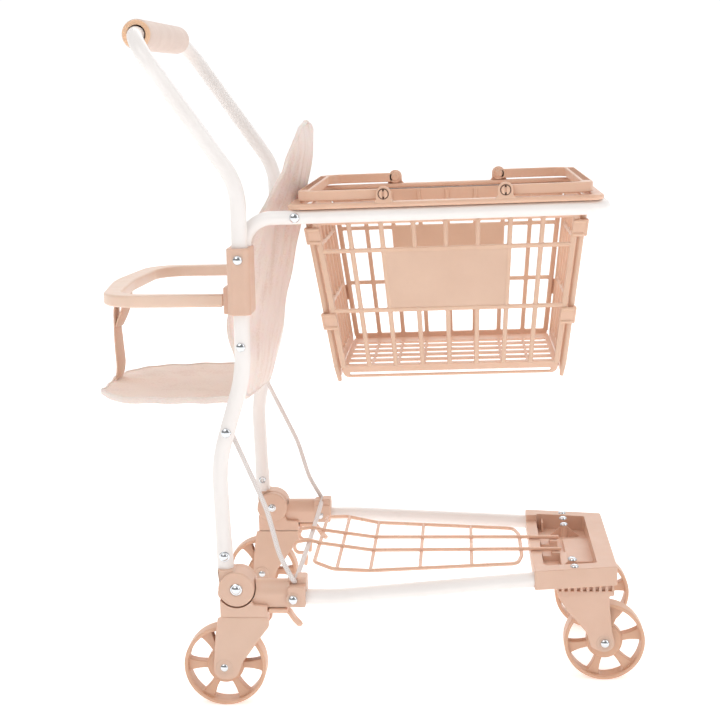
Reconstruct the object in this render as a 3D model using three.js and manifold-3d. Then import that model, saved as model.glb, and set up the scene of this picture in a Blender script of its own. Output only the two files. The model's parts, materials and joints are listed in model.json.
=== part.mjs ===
// Folding toy shopping cart with a doll seat and a lift-out basket.
// Millimetres. +X is forward, +Y is left, +Z is up. The wheels stand on z = 0.
// Every part is laid out with x = 0 on the rear axle, and the whole cart is then
// shifted so that x = 0 is the middle of its length.

import * as THREE from 'three';
import { mergeVertices } from 'three/addons/utils/BufferGeometryUtils.js';
import Module from 'manifold-3d';

const wasm = await Module();
wasm.setup();

// Driving dimensions
const CENTRE_X = 119.65;
const GAP = 0.35;

const WHEEL_R = 34;
const WHEEL_WIDTH = 15.4;
const HUB_R = 14.5;
const AXLE_R = 2.2;
const REAR_Y = 118;
const FRONT_AXLE_X = 315.8;
const FRONT_Y = 61;
const SWIVEL_X = 298.6;
const FORK_HALF = 11;
const POCKET_HALF = 8.3;

const TUBE_R = 6.35;
const TUBE_BORE_R = 5.35;
const RING_R = 5.5;
const RING_BORE_R = 4.6;
const RING_Y = 106.2;
const RING_FRONT_X = 309.2;
const RING_REAR_X = 25.4;
const RING_Z = 403.4;
const TILT = THREE.MathUtils.degToRad(1);

const HANDLE_X = -57.8;
const HANDLE_Z = 546;
const GRIP_HALF = 84;
const GRIP_R = 12.2;
const COLLAR_BASE_Z = 326.4;
const COLLAR_TOP_Z = 379.3;
const TUBE_JOINT_Z = 352;
const LEG_FOOT_Z = 117.6;

const PIVOT_X = 12.2;
const PIVOT_Z = 101.4;
const KNUCKLE_R = 15;
const CHEEK_R = 17.5;
const HOUSING_OUTER_Y = 130.2;
const CHEEK_INNER_Y = 105.6;
const CHEEK_OUTER_Y = 111.2;
const SEAM_Z = 76.6;
const BASE_TUBE_Z = 91.5;

const TRAY_REAR_X = 256;
const TRAY_FRONT_X = 325;
const TRAY_TOP_Z = 104.3;
const TRAY_BASE_Z = 88.2;
const TRAY_FLOOR_Z = 90.2;
const TRAY_REAR_HALF = 90.5;
const TRAY_FRONT_HALF = 78;
const TUBE_TRAY_Y = 82.5;
const TUBE_TRAY_Z = 94.3;

const WIRE_R = 1.5;
const WIRE_Z = 99.8;
const CORD_R = 2;
const CORD_X = 60.2;
const CORD_MIDDLE_Z = 104.2;

const BASKET_X = 186;
const BASKET_Z = 340;
const RIM_BASE = 69.2;
const RIM_TOP = 73.8;
const RIM_HALF_LENGTH = 124.2;
const RIM_HALF_WIDTH = 112;
const WALL_TOP = RIM_BASE - GAP;
const WALL_BASE = -70.1;
const WALL_HALF_WIDTH = 100.2;
const WALL_LEAN = 0.152;
const END_HALF_LENGTH = 103;
const END_LEAN = 0.134;
const WALL_THICKNESS = 3.2;
const END_THICKNESS = 3.8;
const END_INSET = 4;
const BAIL_PIVOT = 47.7;
const BAIL_PIVOT_Z = 79.3;
const BAIL_REACH = 116;

const SEAT_FRONT_X = -110.5;
const SEAT_HALF = 86;
const SEAT_TOP_Z = 252;
const BACK_HALF = 88;
const BUMPER_Z = 335;

// Materials
const material = (color, roughness, metalness = 0) =>
  new THREE.MeshStandardMaterial({ color, roughness, metalness });
const peachPlastic = () => material(0xe6c1a6, 0.45);
const whiteTube = () => material(0xf2ebe7, 0.35, 0.1);
const chrome = () => material(0xd6d9dc, 0.15, 1);
const gripFoam = () => material(0xe8cdbf, 0.8);
const seatFabric = () => material(0xe9d0c4, 0.9);
const peachWire = () => material(0xe7bfa2, 0.4);
const elastic = () => material(0xf3ece9, 0.7);

// Solids: joining and cutting closed meshes

function solidOf(geometry) {
  const bare = geometry.clone();
  bare.deleteAttribute('normal');
  bare.deleteAttribute('uv');
  const merged = mergeVertices(bare, 1e-4);
  const corners = merged.index.array;
  const triangles = [];
  for (let i = 0; i < corners.length; i += 3) {
    const [a, b, c] = corners.slice(i, i + 3);
    if (a !== b && b !== c && c !== a) triangles.push(a, b, c);
  }
  const mesh = new wasm.Mesh({
    numProp: 3,
    vertProperties: merged.attributes.position.array,
    triVerts: Uint32Array.from(triangles),
  });
  return new wasm.Manifold(mesh);
}

function geometryOf(solid) {
  const mesh = solid.getMesh();
  const geometry = new THREE.BufferGeometry();
  geometry.setAttribute('position', new THREE.BufferAttribute(mesh.vertProperties, 3));
  geometry.setIndex(new THREE.BufferAttribute(mesh.triVerts, 1));
  return geometry;
}

const join = (...pieces) =>
  geometryOf(pieces.map(solidOf).reduce((whole, piece) => whole.add(piece)));

const cut = (piece, ...tools) =>
  geometryOf(tools.map(solidOf).reduce((left, tool) => left.subtract(tool), solidOf(piece)));

const common = (a, b) => geometryOf(solidOf(a).intersect(solidOf(b)));

// Simple shapes

const vector = (point) => new THREE.Vector3(...point);

function outline(points) {
  return new THREE.Shape(points.map(([x, y]) => new THREE.Vector2(x, y)));
}

function prism(shape, depth, curveSegments) {
  return new THREE.ExtrudeGeometry(shape, { depth, bevelEnabled: false, curveSegments });
}

// A side profile (x, z) that runs from y1 to y2.
function profileAlongY(shape, y1, y2, curveSegments = 6) {
  const piece = prism(shape, Math.abs(y2 - y1), curveSegments);
  return piece.rotateX(Math.PI / 2).translate(0, Math.max(y1, y2), 0);
}

// A plan (x, y) that runs from z1 up to z2.
function planAlongZ(shape, z1, z2, curveSegments = 6) {
  return prism(shape, z2 - z1, curveSegments).translate(0, 0, z1);
}

function box([x1, y1, z1], [x2, y2, z2]) {
  const size = [x2 - x1, y2 - y1, z2 - z1].map(Math.abs);
  const middle = [(x1 + x2) / 2, (y1 + y2) / 2, (z1 + z2) / 2];
  return new THREE.BoxGeometry(...size).translate(...middle);
}

function rod(start, end, radius, sides = 16) {
  const from = vector(start);
  const to = vector(end);
  const along = to.clone().sub(from);
  const piece = new THREE.CylinderGeometry(radius, radius, along.length(), sides);
  const turn = new THREE.Quaternion().setFromUnitVectors(
    new THREE.Vector3(0, 1, 0),
    along.normalize(),
  );
  const middle = from.add(to).multiplyScalar(0.5);
  return piece.applyQuaternion(turn).translate(middle.x, middle.y, middle.z);
}

// A closed plan outline whose corners are rounded: [x, y, radius] for each corner.
function roundedShape(corners, steps = 3) {
  const points = [];
  corners.forEach(([x, y, radius = 0], i) => {
    const corner = new THREE.Vector2(x, y);
    if (radius === 0) {
      points.push(corner);
      return;
    }
    const before = corners[(i + corners.length - 1) % corners.length];
    const after = corners[(i + 1) % corners.length];
    const back = new THREE.Vector2(before[0], before[1]).sub(corner).normalize();
    const ahead = new THREE.Vector2(after[0], after[1]).sub(corner).normalize();
    const half = Math.acos(THREE.MathUtils.clamp(back.dot(ahead), -1, 1)) / 2;
    const reach = radius / Math.tan(half);
    const centre = back.clone().add(ahead).normalize().multiplyScalar(radius / Math.sin(half));
    centre.add(corner);
    const first = corner.clone().addScaledVector(back, reach).sub(centre);
    const last = corner.clone().addScaledVector(ahead, reach).sub(centre);
    const sweep = Math.atan2(first.cross(last), first.dot(last));
    for (let k = 0; k <= steps; k += 1) {
      const turned = first.clone().rotateAround(new THREE.Vector2(), (sweep * k) / steps);
      points.push(turned.add(centre));
    }
  });
  return new THREE.Shape(points);
}

// A centreline of straight runs joined by round bends, with one section at each end of a
// straight run and a few round each bend. A bend is [x, y, z, radius].
class BentPath extends THREE.Curve {
  constructor(corners, degreesPerStep = 15) {
    super();
    this.stations = [];
    const last = corners.length - 1;
    corners.forEach((corner, i) => {
      const here = vector(corner.slice(0, 3));
      if (i === 0 || i === last) {
        const other = vector(corners[i === 0 ? 1 : last - 1].slice(0, 3));
        const tangent = i === 0 ? other.sub(here) : here.clone().sub(other);
        this.stations.push({ point: here, tangent: tangent.normalize() });
        return;
      }
      const into = here.clone().sub(vector(corners[i - 1].slice(0, 3))).normalize();
      const away = vector(corners[i + 1].slice(0, 3)).sub(here).normalize();
      this.addBend(here, into, away, corner[3], degreesPerStep);
    });
  }

  addBend(corner, into, away, radius, degreesPerStep) {
    const angle = into.angleTo(away);
    const reach = radius * Math.tan(angle / 2);
    const side = away.clone().addScaledVector(into, -away.dot(into)).normalize();
    const start = corner.clone().addScaledVector(into, -reach);
    const steps = Math.max(1, Math.round(THREE.MathUtils.radToDeg(angle) / degreesPerStep));
    for (let k = 0; k <= steps; k += 1) {
      const turned = (angle * k) / steps;
      const point = start.clone()
        .addScaledVector(into, radius * Math.sin(turned))
        .addScaledVector(side, radius * (1 - Math.cos(turned)));
      const tangent = into.clone()
        .multiplyScalar(Math.cos(turned))
        .addScaledVector(side, Math.sin(turned));
      this.stations.push({ point, tangent });
    }
  }

  get steps() {
    return this.stations.length - 1;
  }

  stationAt(u) {
    return this.stations[Math.round(u * this.steps)];
  }

  getPointAt(u) {
    return this.stationAt(u).point.clone();
  }

  getTangentAt(u) {
    return this.stationAt(u).tangent.clone();
  }
}

function bar(path, radius, sides) {
  const section = new THREE.Shape().absarc(0, 0, radius, 0, Math.PI * 2);
  return new THREE.ExtrudeGeometry(section, {
    extrudePath: path,
    steps: path.steps,
    curveSegments: sides / 2,
  });
}

function pipe(path, radius, boreRadius) {
  const section = new THREE.Shape(ringPoints(radius, 10));
  section.holes.push(new THREE.Path(ringPoints(boreRadius, 6)));
  return new THREE.ExtrudeGeometry(section, { extrudePath: path, steps: path.steps });
}

function ringPoints(radius, count, x = 0, y = 0) {
  return Array.from({ length: count }, (_, i) => {
    const angle = (i / count) * Math.PI * 2;
    return new THREE.Vector2(x + radius * Math.cos(angle), y + radius * Math.sin(angle));
  });
}

// A screw across the cart, with a domed head at each end of its shank.
function domedBolt(x, z, y1, y2, headR = 4, shankR = 1.7, headHeight = 2.4) {
  const half = Math.abs(y2 - y1) / 2;
  const dome = (sign) => [
    [0, sign * (half + headHeight)],
    [headR * 0.7, sign * (half + headHeight * 0.72)],
    [headR, sign * half],
    [shankR, sign * half],
  ];
  const profile = [...dome(-1), ...dome(1).reverse()].map((p) => new THREE.Vector2(...p));
  return new THREE.LatheGeometry(profile, 8).translate(x, (y1 + y2) / 2, z);
}

const hole = (x, z, y1, y2, radius = 2.1) => rod([x, y1, z], [x, y2, z], radius, 8);

// Upper frame: handle, legs, collars and the ring that carries the basket

function pushHandle() {
  const side = (s) => [
    [23.5, s * REAR_Y, TUBE_JOINT_Z + GAP / 2],
    [23.5, s * REAR_Y, 428.3, 55],
    [HANDLE_X, s * REAR_Y, HANDLE_Z, 34],
  ];
  const path = new BentPath([...side(-1), ...side(1).reverse()]);
  const tube = pipe(path, TUBE_R, TUBE_BORE_R);
  return cut(tube, hole(23.1, 370.3, -140, 140));
}

function handleGrip() {
  const inner = TUBE_R + GAP;
  const profile = [
    [inner, -GRIP_HALF],
    [GRIP_R - 1.5, -GRIP_HALF],
    [GRIP_R, -GRIP_HALF + 1.5],
    [GRIP_R, GRIP_HALF - 1.5],
    [GRIP_R - 1.5, GRIP_HALF],
    [inner, GRIP_HALF],
    [inner, -GRIP_HALF],
  ].map((p) => new THREE.Vector2(...p));
  return new THREE.LatheGeometry(profile, 20).translate(HANDLE_X, 0, HANDLE_Z);
}

function leg(s) {
  const path = new BentPath([
    [23.5, s * REAR_Y, TUBE_JOINT_Z - GAP / 2],
    [22.9, s * REAR_Y, 277, 120],
    [0.4, s * REAR_Y, 206, 120],
    [2.3, s * REAR_Y, LEG_FOOT_Z],
  ], 6);
  const tube = pipe(path, TUBE_R, TUBE_BORE_R);
  const holes = [[22.6, 300.7], [8.2, 231]].map(([x, z]) => hole(x, z, -140, 140));
  return cut(tube, ...holes);
}

function collar(s) {
  const body = planAlongZ(roundedShape([
    [13.6, s * 96.5, 3],
    [32.0, s * 96.5, 3],
    [32.0, s * 128.2, 7],
    [13.6, s * 128.2, 7],
  ]), COLLAR_BASE_Z, COLLAR_TOP_Z);
  const boss = box([7.4, s * 93.8, 328.5], [17, s * 108, 350.3]);
  const tubeBore = rod([23.5, s * REAR_Y, 300], [23.5, s * REAR_Y, 400], TUBE_R + GAP, 14);
  const ringBore = rod([RING_REAR_X, s * RING_Y, 354], [RING_REAR_X, s * RING_Y, 400],
    RING_R + GAP, 14);
  const screw = hole(23.1, 370.3, s * 90, s * 140);
  return cut(join(body, boss), tubeBore, ringBore, screw);
}

const ringZ = (x) => RING_Z + (x - BASKET_X) * Math.tan(TILT);

function basketRing() {
  const side = (s) => [
    [RING_REAR_X, s * RING_Y, 356],
    [RING_REAR_X, s * RING_Y, ringZ(RING_REAR_X), 21],
    [RING_FRONT_X, s * RING_Y, ringZ(RING_FRONT_X), 17],
  ];
  const path = new BentPath([...side(-1), ...side(1).reverse()], 18);
  return cut(
    pipe(path, RING_R, RING_BORE_R),
    hole(23.1, 370.3, -140, 140),
    hole(66.8, ringZ(66.8), -140, 140),
  );
}

// Doll seat: back, pan, bumper and crotch strap

function backrest() {
  const spine = [[65.5, 471], [54.5, 434], [42.5, 394], [31.5, 357], [21, 322], [17.5, 300],
    [17, 279], [14.5, 253]];
  const half = 4.6;
  const front = spine.map(([x, z]) => [x - half, z]);
  const rear = spine.map(([x, z]) => [x + half, z]).reverse();
  const slab = profileAlongY(outline([...front, ...rear]), -BACK_HALF, BACK_HALF);
  const face = roundedShape([
    [-BACK_HALF + 8, 250, 12],
    [BACK_HALF - 8, 250, 12],
    [BACK_HALF, 300, 60],
    [BACK_HALF, 471, 46],
    [-BACK_HALF, 471, 46],
    [-BACK_HALF, 300, 60],
  ], 5);
  const stencil = prism(face, 120).rotateX(Math.PI / 2).rotateZ(Math.PI / 2);
  return common(slab, stencil.translate(-20, 0, 0));
}

function seatPan() {
  return planAlongZ(roundedShape([
    [SEAT_FRONT_X, -50, 10],
    [-80, -SEAT_HALF, 24],
    [8, -SEAT_HALF, 8],
    [8, SEAT_HALF, 8],
    [-80, SEAT_HALF, 24],
    [SEAT_FRONT_X, 50, 10],
  ]), SEAT_TOP_Z - 6, SEAT_TOP_Z);
}

function bumperBar() {
  const hoop = planAlongZ(roundedShape([
    [6.4, -104.6, 1],
    [6.4, -95.4, 1],
    [-82, -92, 26],
    [-88, 0, 150],
    [-82, 92, 26],
    [6.4, 95.4, 1],
    [6.4, 104.6, 1],
    [-94, 104.6, 34],
    [-106, 0, 180],
    [-94, -104.6, 34],
  ], 4), BUMPER_Z - 5, BUMPER_Z + 5);
  const tongues = [-1, 1].map((s) => box([5, s * 97, 331.5], [7.4 - GAP, s * 103, 338.5]));
  return join(hoop, ...tongues);
}

function crotchStrap() {
  const front = [[-104.5, 329.6], [-102.4, 300], [-101.4, 277], [-104, 262], [-106, 252.4]];
  const rear = front.map(([x, z]) => [x + 2.2, z]).reverse();
  return profileAlongY(outline([...front, ...rear]), -11, 11);
}

// Fold joint: a knuckle on each leg turns in a housing on the base

function knuckle(s) {
  const disc = rod([PIVOT_X, s * 112, PIVOT_Z], [PIVOT_X, s * 130, PIVOT_Z], KNUCKLE_R, 22);
  const neck = profileAlongY(outline([
    [-4.2, LEG_FOOT_Z - GAP],
    [9.2, LEG_FOOT_Z - GAP],
    [17, 112],
    [12, 94],
    [-1.6, 96],
    [-3.2, 101],
  ]), s * 112, s * 127);
  const spigot = rod([2.3, s * REAR_Y, 112], [2.15, s * REAR_Y, 138], TUBE_BORE_R - 1.35, 8);
  const pivot = hole(PIVOT_X, PIVOT_Z, s * 100, s * 140, 2.6);
  return cut(join(disc, neck, spigot), pivot);
}

function rearHousing(s) {
  const body = profileAlongY(outline([
    [-1.5, SEAM_Z + GAP],
    [37.7, SEAM_Z + GAP],
    [37.7, 86],
    [34, 104.2],
    [12, 104.2],
    [-1.5, 92.6],
  ]), s * CHEEK_INNER_Y, s * HOUSING_OUTER_Y);
  const cheek = rod([PIVOT_X, s * CHEEK_INNER_Y, PIVOT_Z], [PIVOT_X, s * CHEEK_OUTER_Y, PIVOT_Z],
    CHEEK_R, 22);
  const arm = rod([30, s * REAR_Y, BASE_TUBE_Z], [56, s * REAR_Y, BASE_TUBE_Z], 9.2, 14);
  const flange = box([53.5, s * 107, 83.4], [68.3, s * 129.4, 103.2]);
  const ear = box([52, s * 108, 96], [68.3, s * 121.5, 115]);
  const cradle = rod([PIVOT_X, s * CHEEK_OUTER_Y, PIVOT_Z], [PIVOT_X, s * 140, PIVOT_Z],
    KNUCKLE_R + 0.6, 22);
  const neckRoom = box([-8, s * CHEEK_OUTER_Y, 93], [PIVOT_X, s * 140, 125]);
  const cordSlot = box([55, s * 100, 104.2], [63.6, s * 126, 120]);
  const tubeSocket = rod([40, s * REAR_Y, BASE_TUBE_Z], [75, s * REAR_Y, BASE_TUBE_Z],
    TUBE_R + GAP, 14);
  return cut(
    join(body, cheek, arm, flange, ear),
    cradle,
    neckRoom,
    cordSlot,
    tubeSocket,
    hole(PIVOT_X, PIVOT_Z, s * 100, s * 140, 2.6),
    hole(58.6, 93, s * 100, s * 140),
  );
}

function rearFork(s) {
  const leg = profileAlongY(roundedShape([
    [-2.8, SEAM_Z],
    [36.7, SEAM_Z],
    [36.2, 70.6, 6],
    [13.6, 37, 6],
    [9.5, 25.6, 8],
    [-8.6, 25.6, 8],
    [-7, 52, 30],
  ]), s * (REAR_Y - FORK_HALF), s * (REAR_Y + FORK_HALF));
  return forkAround(leg, 0, s * REAR_Y);
}

// Cuts the wheel's pocket and the axle's hole out of a fork.
function forkAround(piece, axleX, y) {
  const pocket = rod([axleX, y - POCKET_HALF, WHEEL_R], [axleX, y + POCKET_HALF, WHEEL_R],
    WHEEL_R + 2, 24);
  return cut(piece, pocket, hole(axleX, WHEEL_R, y - 20, y + 20, AXLE_R + GAP));
}

function baseTube(s) {
  const path = new BentPath([
    [42, s * REAR_Y, BASE_TUBE_Z],
    [95, s * REAR_Y, BASE_TUBE_Z + 0.3, 60],
    [TRAY_REAR_X, s * TUBE_TRAY_Y, TUBE_TRAY_Z],
    [TRAY_REAR_X + 17, s * 78.8, TUBE_TRAY_Z + 0.3],
  ].map((p, i) => (i === 2 ? [...p, 50] : p)), 5);
  return cut(pipe(path, TUBE_R, TUBE_BORE_R), hole(58.6, 93, -140, 140));
}

function releaseLever(s) {
  const upper = [[38.2, 80.4], [52.4, 80.4], [56.6, 75.4], [60.4, 71.2], [64.6, 68.2]];
  const lower = [[63.2, 65.8], [58.6, 69], [54.4, 73.4], [51.2, 77.9], [38.2, 77.9]];
  return profileAlongY(outline([...upper, ...lower]), s * 112, s * 124);
}

// Front platform: an open tray that holds the base tubes and the casters

const trayHalf = (x, inset) =>
  THREE.MathUtils.mapLinear(x, TRAY_REAR_X, TRAY_FRONT_X, TRAY_REAR_HALF, TRAY_FRONT_HALF) - inset;

function trayPlan(rearX, frontX, inset, radius) {
  const rear = trayHalf(rearX, inset);
  const front = trayHalf(frontX, inset);
  return roundedShape([
    [rearX, -rear, radius],
    [frontX, -front, radius],
    [frontX, front, radius],
    [rearX, rear, radius],
  ]);
}

function platformPost(s) {
  const x = 288.7;
  const y = s * 49.5;
  const post = rod([x, y, TRAY_FLOOR_Z - 1], [x, y, 101], 3.4, 12);
  const gusset = profileAlongY(outline([
    [x - 13, TRAY_FLOOR_Z - 1],
    [x + 13, TRAY_FLOOR_Z - 1],
    [x + 2, 99.5],
    [x - 2, 99.5],
  ]), y - 0.9, y + 0.9);
  return join(post, gusset);
}

function wireRest(s) {
  const low = box([265, s * 11, TRAY_FLOOR_Z - 1], [274.5, s * 22, 94.6]);
  const high = box([274, s * 11, TRAY_FLOOR_Z - 1], [281, s * 22, WIRE_Z - WIRE_R - GAP]);
  return join(low, high);
}

function frontPlatform() {
  const block = planAlongZ(trayPlan(TRAY_REAR_X, TRAY_FRONT_X, 0, 4), TRAY_BASE_Z, TRAY_TOP_Z);
  const pocket = planAlongZ(trayPlan(266, 309, 18, 3), TRAY_FLOOR_Z, 120);
  const step = box([250, -72, WIRE_Z - WIRE_R - GAP], [267, 72, 120]);
  const sockets = [-1, 1].map((s) => rod(
    [TRAY_REAR_X - 20, s * (TUBE_TRAY_Y + 4.41), TUBE_TRAY_Z - 0.35],
    [TRAY_REAR_X + 18, s * (TUBE_TRAY_Y - 3.92), TUBE_TRAY_Z + 0.32],
    TUBE_R + GAP,
    14,
  ));
  const stems = [-1, 1].map((s) => rod([SWIVEL_X, s * FRONT_Y, 80], [SWIVEL_X, s * FRONT_Y, 120],
    4.4, 16));
  const pad = planAlongZ(roundedShape([[283, -27, 3], [306, -27, 3], [306, 27, 3], [283, 27, 3]]),
    TRAY_FLOOR_Z - 1, 93.2);
  const tray = cut(block, pocket, step, ...sockets);
  const fitted = join(tray, pad, ...[-1, 1].flatMap((s) => [platformPost(s), wireRest(s)]));
  return cut(fitted, ...stems);
}

function frontFork(s) {
  const y = s * FRONT_Y;
  const leg = profileAlongY(roundedShape([
    [275.2, 84],
    [321.6, 84],
    [321.6, 73, 3],
    [323.8, 31, 8],
    [318, 25.6, 6],
    [308, 25.6, 8],
    [290, 55.6, 40],
    [275.2, 73, 4],
  ]), y - FORK_HALF, y + FORK_HALF);
  const crown = planAlongZ(roundedShape([
    [275.2, y - 14, 4],
    [321.6, y - 14, 4],
    [321.6, y + 14, 4],
    [275.2, y + 14, 4],
  ]), 75, TRAY_BASE_Z - GAP);
  const stem = rod([SWIVEL_X, y, 80], [SWIVEL_X, y, 95], 4, 16);
  const notches = Array.from({ length: 6 }, (_, i) => {
    const x = 281 + i * 7;
    return [-1, 1].map((side) => box([x - 1.3, y + side * 12, 84], [x + 1.3, y + side * 16, 90]));
  }).flat();
  return forkAround(cut(join(leg, crown, stem), ...notches), FRONT_AXLE_X, y);
}

// Wheels

function wheelWindow(centreAngle) {
  const inner = HUB_R + 0.8;
  const outer = WHEEL_R - 3.4;
  const arc = (radius, halfAngle, steps) =>
    Array.from({ length: steps + 1 }, (_, i) => {
      const angle = centreAngle + halfAngle * (1 - (2 * i) / steps);
      return new THREE.Vector2(radius * Math.cos(angle), radius * Math.sin(angle));
    });
  return new THREE.Path([
    ...arc(outer, 0.34, 3),
    ...arc((inner + outer) / 2 + 3, 0.41, 1).reverse().slice(0, 1),
    ...arc(inner, 0.3, 1).reverse(),
    ...arc((inner + outer) / 2 + 3, 0.41, 1).slice(0, 1),
  ]);
}

function wheel(x, y, turn) {
  const web = new THREE.Shape(ringPoints(WHEEL_R - 1.5, 24));
  for (let i = 0; i < 6; i += 1) web.holes.push(wheelWindow((i + 0.5) * (Math.PI / 3)));
  const rim = new THREE.Shape(ringPoints(WHEEL_R, 28));
  rim.holes.push(new THREE.Path(ringPoints(WHEEL_R - 3, 28)));
  const hub = rod([0, -6.6, 0], [0, 6.6, 0], HUB_R, 16);
  const whole = join(
    profileAlongY(web, -4, 4),
    profileAlongY(rim, -WHEEL_WIDTH / 2, WHEEL_WIDTH / 2),
    hub,
  );
  const bored = cut(whole, hole(0, 0, -20, 20, AXLE_R + GAP));
  return bored.rotateY(turn).translate(x, y, WHEEL_R);
}

const axle = (x, y) =>
  domedBolt(x, WHEEL_R, y - FORK_HALF - GAP, y + FORK_HALF + GAP, 4.2, AXLE_R, 2);

// Rack of welded wire between the base tubes

function rackLoop(s) {
  const middle = -s * 0.6;
  return bar(new BentPath([
    [70, middle, 104],
    [70, s * 66, 104, 7],
    [87, s * 77, 101.4, 9],
    [117, s * 69.5, 97.4, 40],
    [243, s * 50.5, 97.4, 9],
    [247.5, s * 30, 97.6, 30],
    [247.5, middle, 97.6],
  ], 40), WIRE_R, 6);
}

function rackRunner(s) {
  const y = s * 19;
  return bar(new BentPath([
    [282, s * 17, WIRE_Z],
    [TRAY_REAR_X - 6, s * 17.4, WIRE_Z, 60],
    [117, y, 99.2, 60],
    [72, y, 105.6, 30],
    [60.4, y, 108.6, 14],
    [47.6, y, 106.6, 4.6],
    [48.4, y, 96.4, 4.6],
    [58.8, y, 97.6, 4],
    [57.4, y, 86],
  ], 45), WIRE_R, 6);
}

function rack() {
  const rungs = [[90, 101.2, 76.5], [118, 97.6, 69.5], [160, 97.4, 63.2], [204, 97.4, 56.6]];
  return join(
    rackLoop(-1),
    rackLoop(1),
    rackRunner(-1),
    rackRunner(1),
    ...rungs.map(([x, z, half]) => rod([x, -half, z], [x, half, z], WIRE_R - 0.05, 6)),
  );
}

// Elastic cord: from one leg, round the two ears of the base, to the other leg

function elasticCord() {
  const side = (s) => [
    [11.5, s * 108.9, 225],
    [45.2, s * 119, 142, 30],
    [CORD_X - 1, s * 124.8, 107.2, 4],
    [CORD_X, s * 100, 106.6, 30],
    [CORD_X, s * 24, CORD_MIDDLE_Z, 30],
  ];
  return bar(new BentPath([...side(-1), ...side(1).reverse()], 30), CORD_R, 8);
}

// Basket: all of it is laid out round the middle of the basket, and then tilted with the ring

const endX = (z) => END_HALF_LENGTH + END_LEAN * z;
const wallY = (z) => WALL_HALF_WIDTH - WALL_LEAN * (WALL_TOP - z);

// Prisms that open rows of windows in a panel. Each row is [base, top, columns], and
// edges(column, z) gives the two sides of a window at that height.
function windows(rows, edges, depth) {
  return rows.flatMap(([base, top, columns]) => columns.map((column) => {
    const low = edges(column, base);
    const high = edges(column, top);
    const shape = outline([[low[0], base], [low[1], base], [high[1], top], [high[0], top]]);
    return prism(shape, depth + 2).translate(0, 0, -1);
  }));
}

const COLUMNS = [-3.5, -2.5, -1.5, -0.5, 0.5, 1.5, 2.5, 3.5];
const LABEL_ROW = [-3.5, -2.5, 2.5, 3.5];
const BAR_HALF = 1.85;

function wallColumn(column, z) {
  const pitch = 23.87 + 0.0322 * z;
  const stile = endX(z) - 10.6;
  const rib = (k) => (Math.abs(k) > 3.5 ? Math.sign(k) * stile : k * pitch);
  const left = rib(column - 0.5) + (column - 0.5 < -3.5 ? 0 : BAR_HALF);
  const right = rib(column + 0.5) - (column + 0.5 > 3.5 ? 0 : BAR_HALF);
  return [left, right];
}

// A clip on the end of a side panel, hooked round the edge of the end panel.
function panelClip(end, base, face) {
  const block = (x1, x2, n1, n2) => {
    const at = (x, z) => [end * (endX(z) + x), z];
    const corners = [at(x1, base), at(x2, base), at(x2, base + 13), at(x1, base + 13)];
    const piece = prism(outline(end > 0 ? corners : corners.reverse()), n2 - n1);
    return piece.translate(0, 0, n1);
  };
  return [
    block(-9.8, -4.4, face - 1, face + 2.3),
    block(-4.6, 1.4, face - END_INSET + GAP, face + 0.5),
    block(GAP, 2.4, face - 8, face - 2.5),
  ];
}

function sidePanel(s) {
  const top = endX(WALL_TOP) - END_THICKNESS - 0.5;
  const base = endX(WALL_BASE) - END_THICKNESS - 0.5;
  const shape = outline([[-base, WALL_BASE], [base, WALL_BASE], [top, WALL_TOP], [-top, WALL_TOP]]);
  const panel = cut(prism(shape, WALL_THICKNESS), ...windows([
    [35.7, 55.5, COLUMNS],
    [-13.8, 32.5, LABEL_ROW],
    [-61.7, -17, COLUMNS],
  ], wallColumn, WALL_THICKNESS));
  const clips = [-1, 1].flatMap((end) =>
    [40.5, -30.5].flatMap((z) => panelClip(end, z, WALL_THICKNESS)));
  const whole = join(panel, ...clips);
  whole.translate(0, -WALL_TOP, -WALL_THICKNESS).rotateX(Math.PI / 2);
  whole.rotateX(Math.atan(WALL_LEAN)).scale(1, 1, Math.sqrt(1 + WALL_LEAN ** 2));
  whole.translate(0, -WALL_HALF_WIDTH, WALL_TOP);
  return s < 0 ? whole : whole.rotateZ(Math.PI);
}

function endColumn(column, z) {
  const inner = wallY(z) - END_INSET - 5;
  const pitch = (inner * 2) / 6;
  return [column * pitch - pitch / 2 + BAR_HALF, column * pitch + pitch / 2 - BAR_HALF];
}

function endPanel(end) {
  const foot = WALL_BASE - 2.4;
  const top = wallY(WALL_TOP) - END_INSET;
  const base = wallY(foot) - END_INSET;
  const shape = outline([[-base, foot], [base, foot], [top, WALL_TOP], [-top, WALL_TOP]]);
  const columns = [-2.5, -1.5, -0.5, 0.5, 1.5, 2.5];
  const panel = cut(prism(shape, END_THICKNESS), ...windows([
    [35.7, 55.5, columns],
    [-13.8, 32.5, columns],
    [-60, -17, columns],
  ], endColumn, END_THICKNESS));
  panel.translate(0, -WALL_TOP, -END_THICKNESS).rotateX(Math.PI / 2);
  panel.rotateX(Math.atan(END_LEAN)).scale(1, 1, Math.sqrt(1 + END_LEAN ** 2));
  panel.translate(0, -endX(WALL_TOP), WALL_TOP);
  return panel.rotateZ((end * Math.PI) / 2);
}

function basketFloor() {
  const halfLength = endX(-68.6) - END_THICKNESS - 1;
  const halfWidth = wallY(-68.6) - WALL_THICKNESS - 1;
  const plate = box([-halfLength, -halfWidth, -68.6], [halfLength, halfWidth, -66.8]);
  const slots = [-2, -1, 0, 1, 2].flatMap((row) => COLUMNS.map((column) => {
    const [x, y] = [column * 21.5, row * 22];
    return box([x - 9.7, y - 7, -75], [x + 9.7, y + 7, -60]);
  }));
  return cut(plate, ...slots);
}

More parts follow.
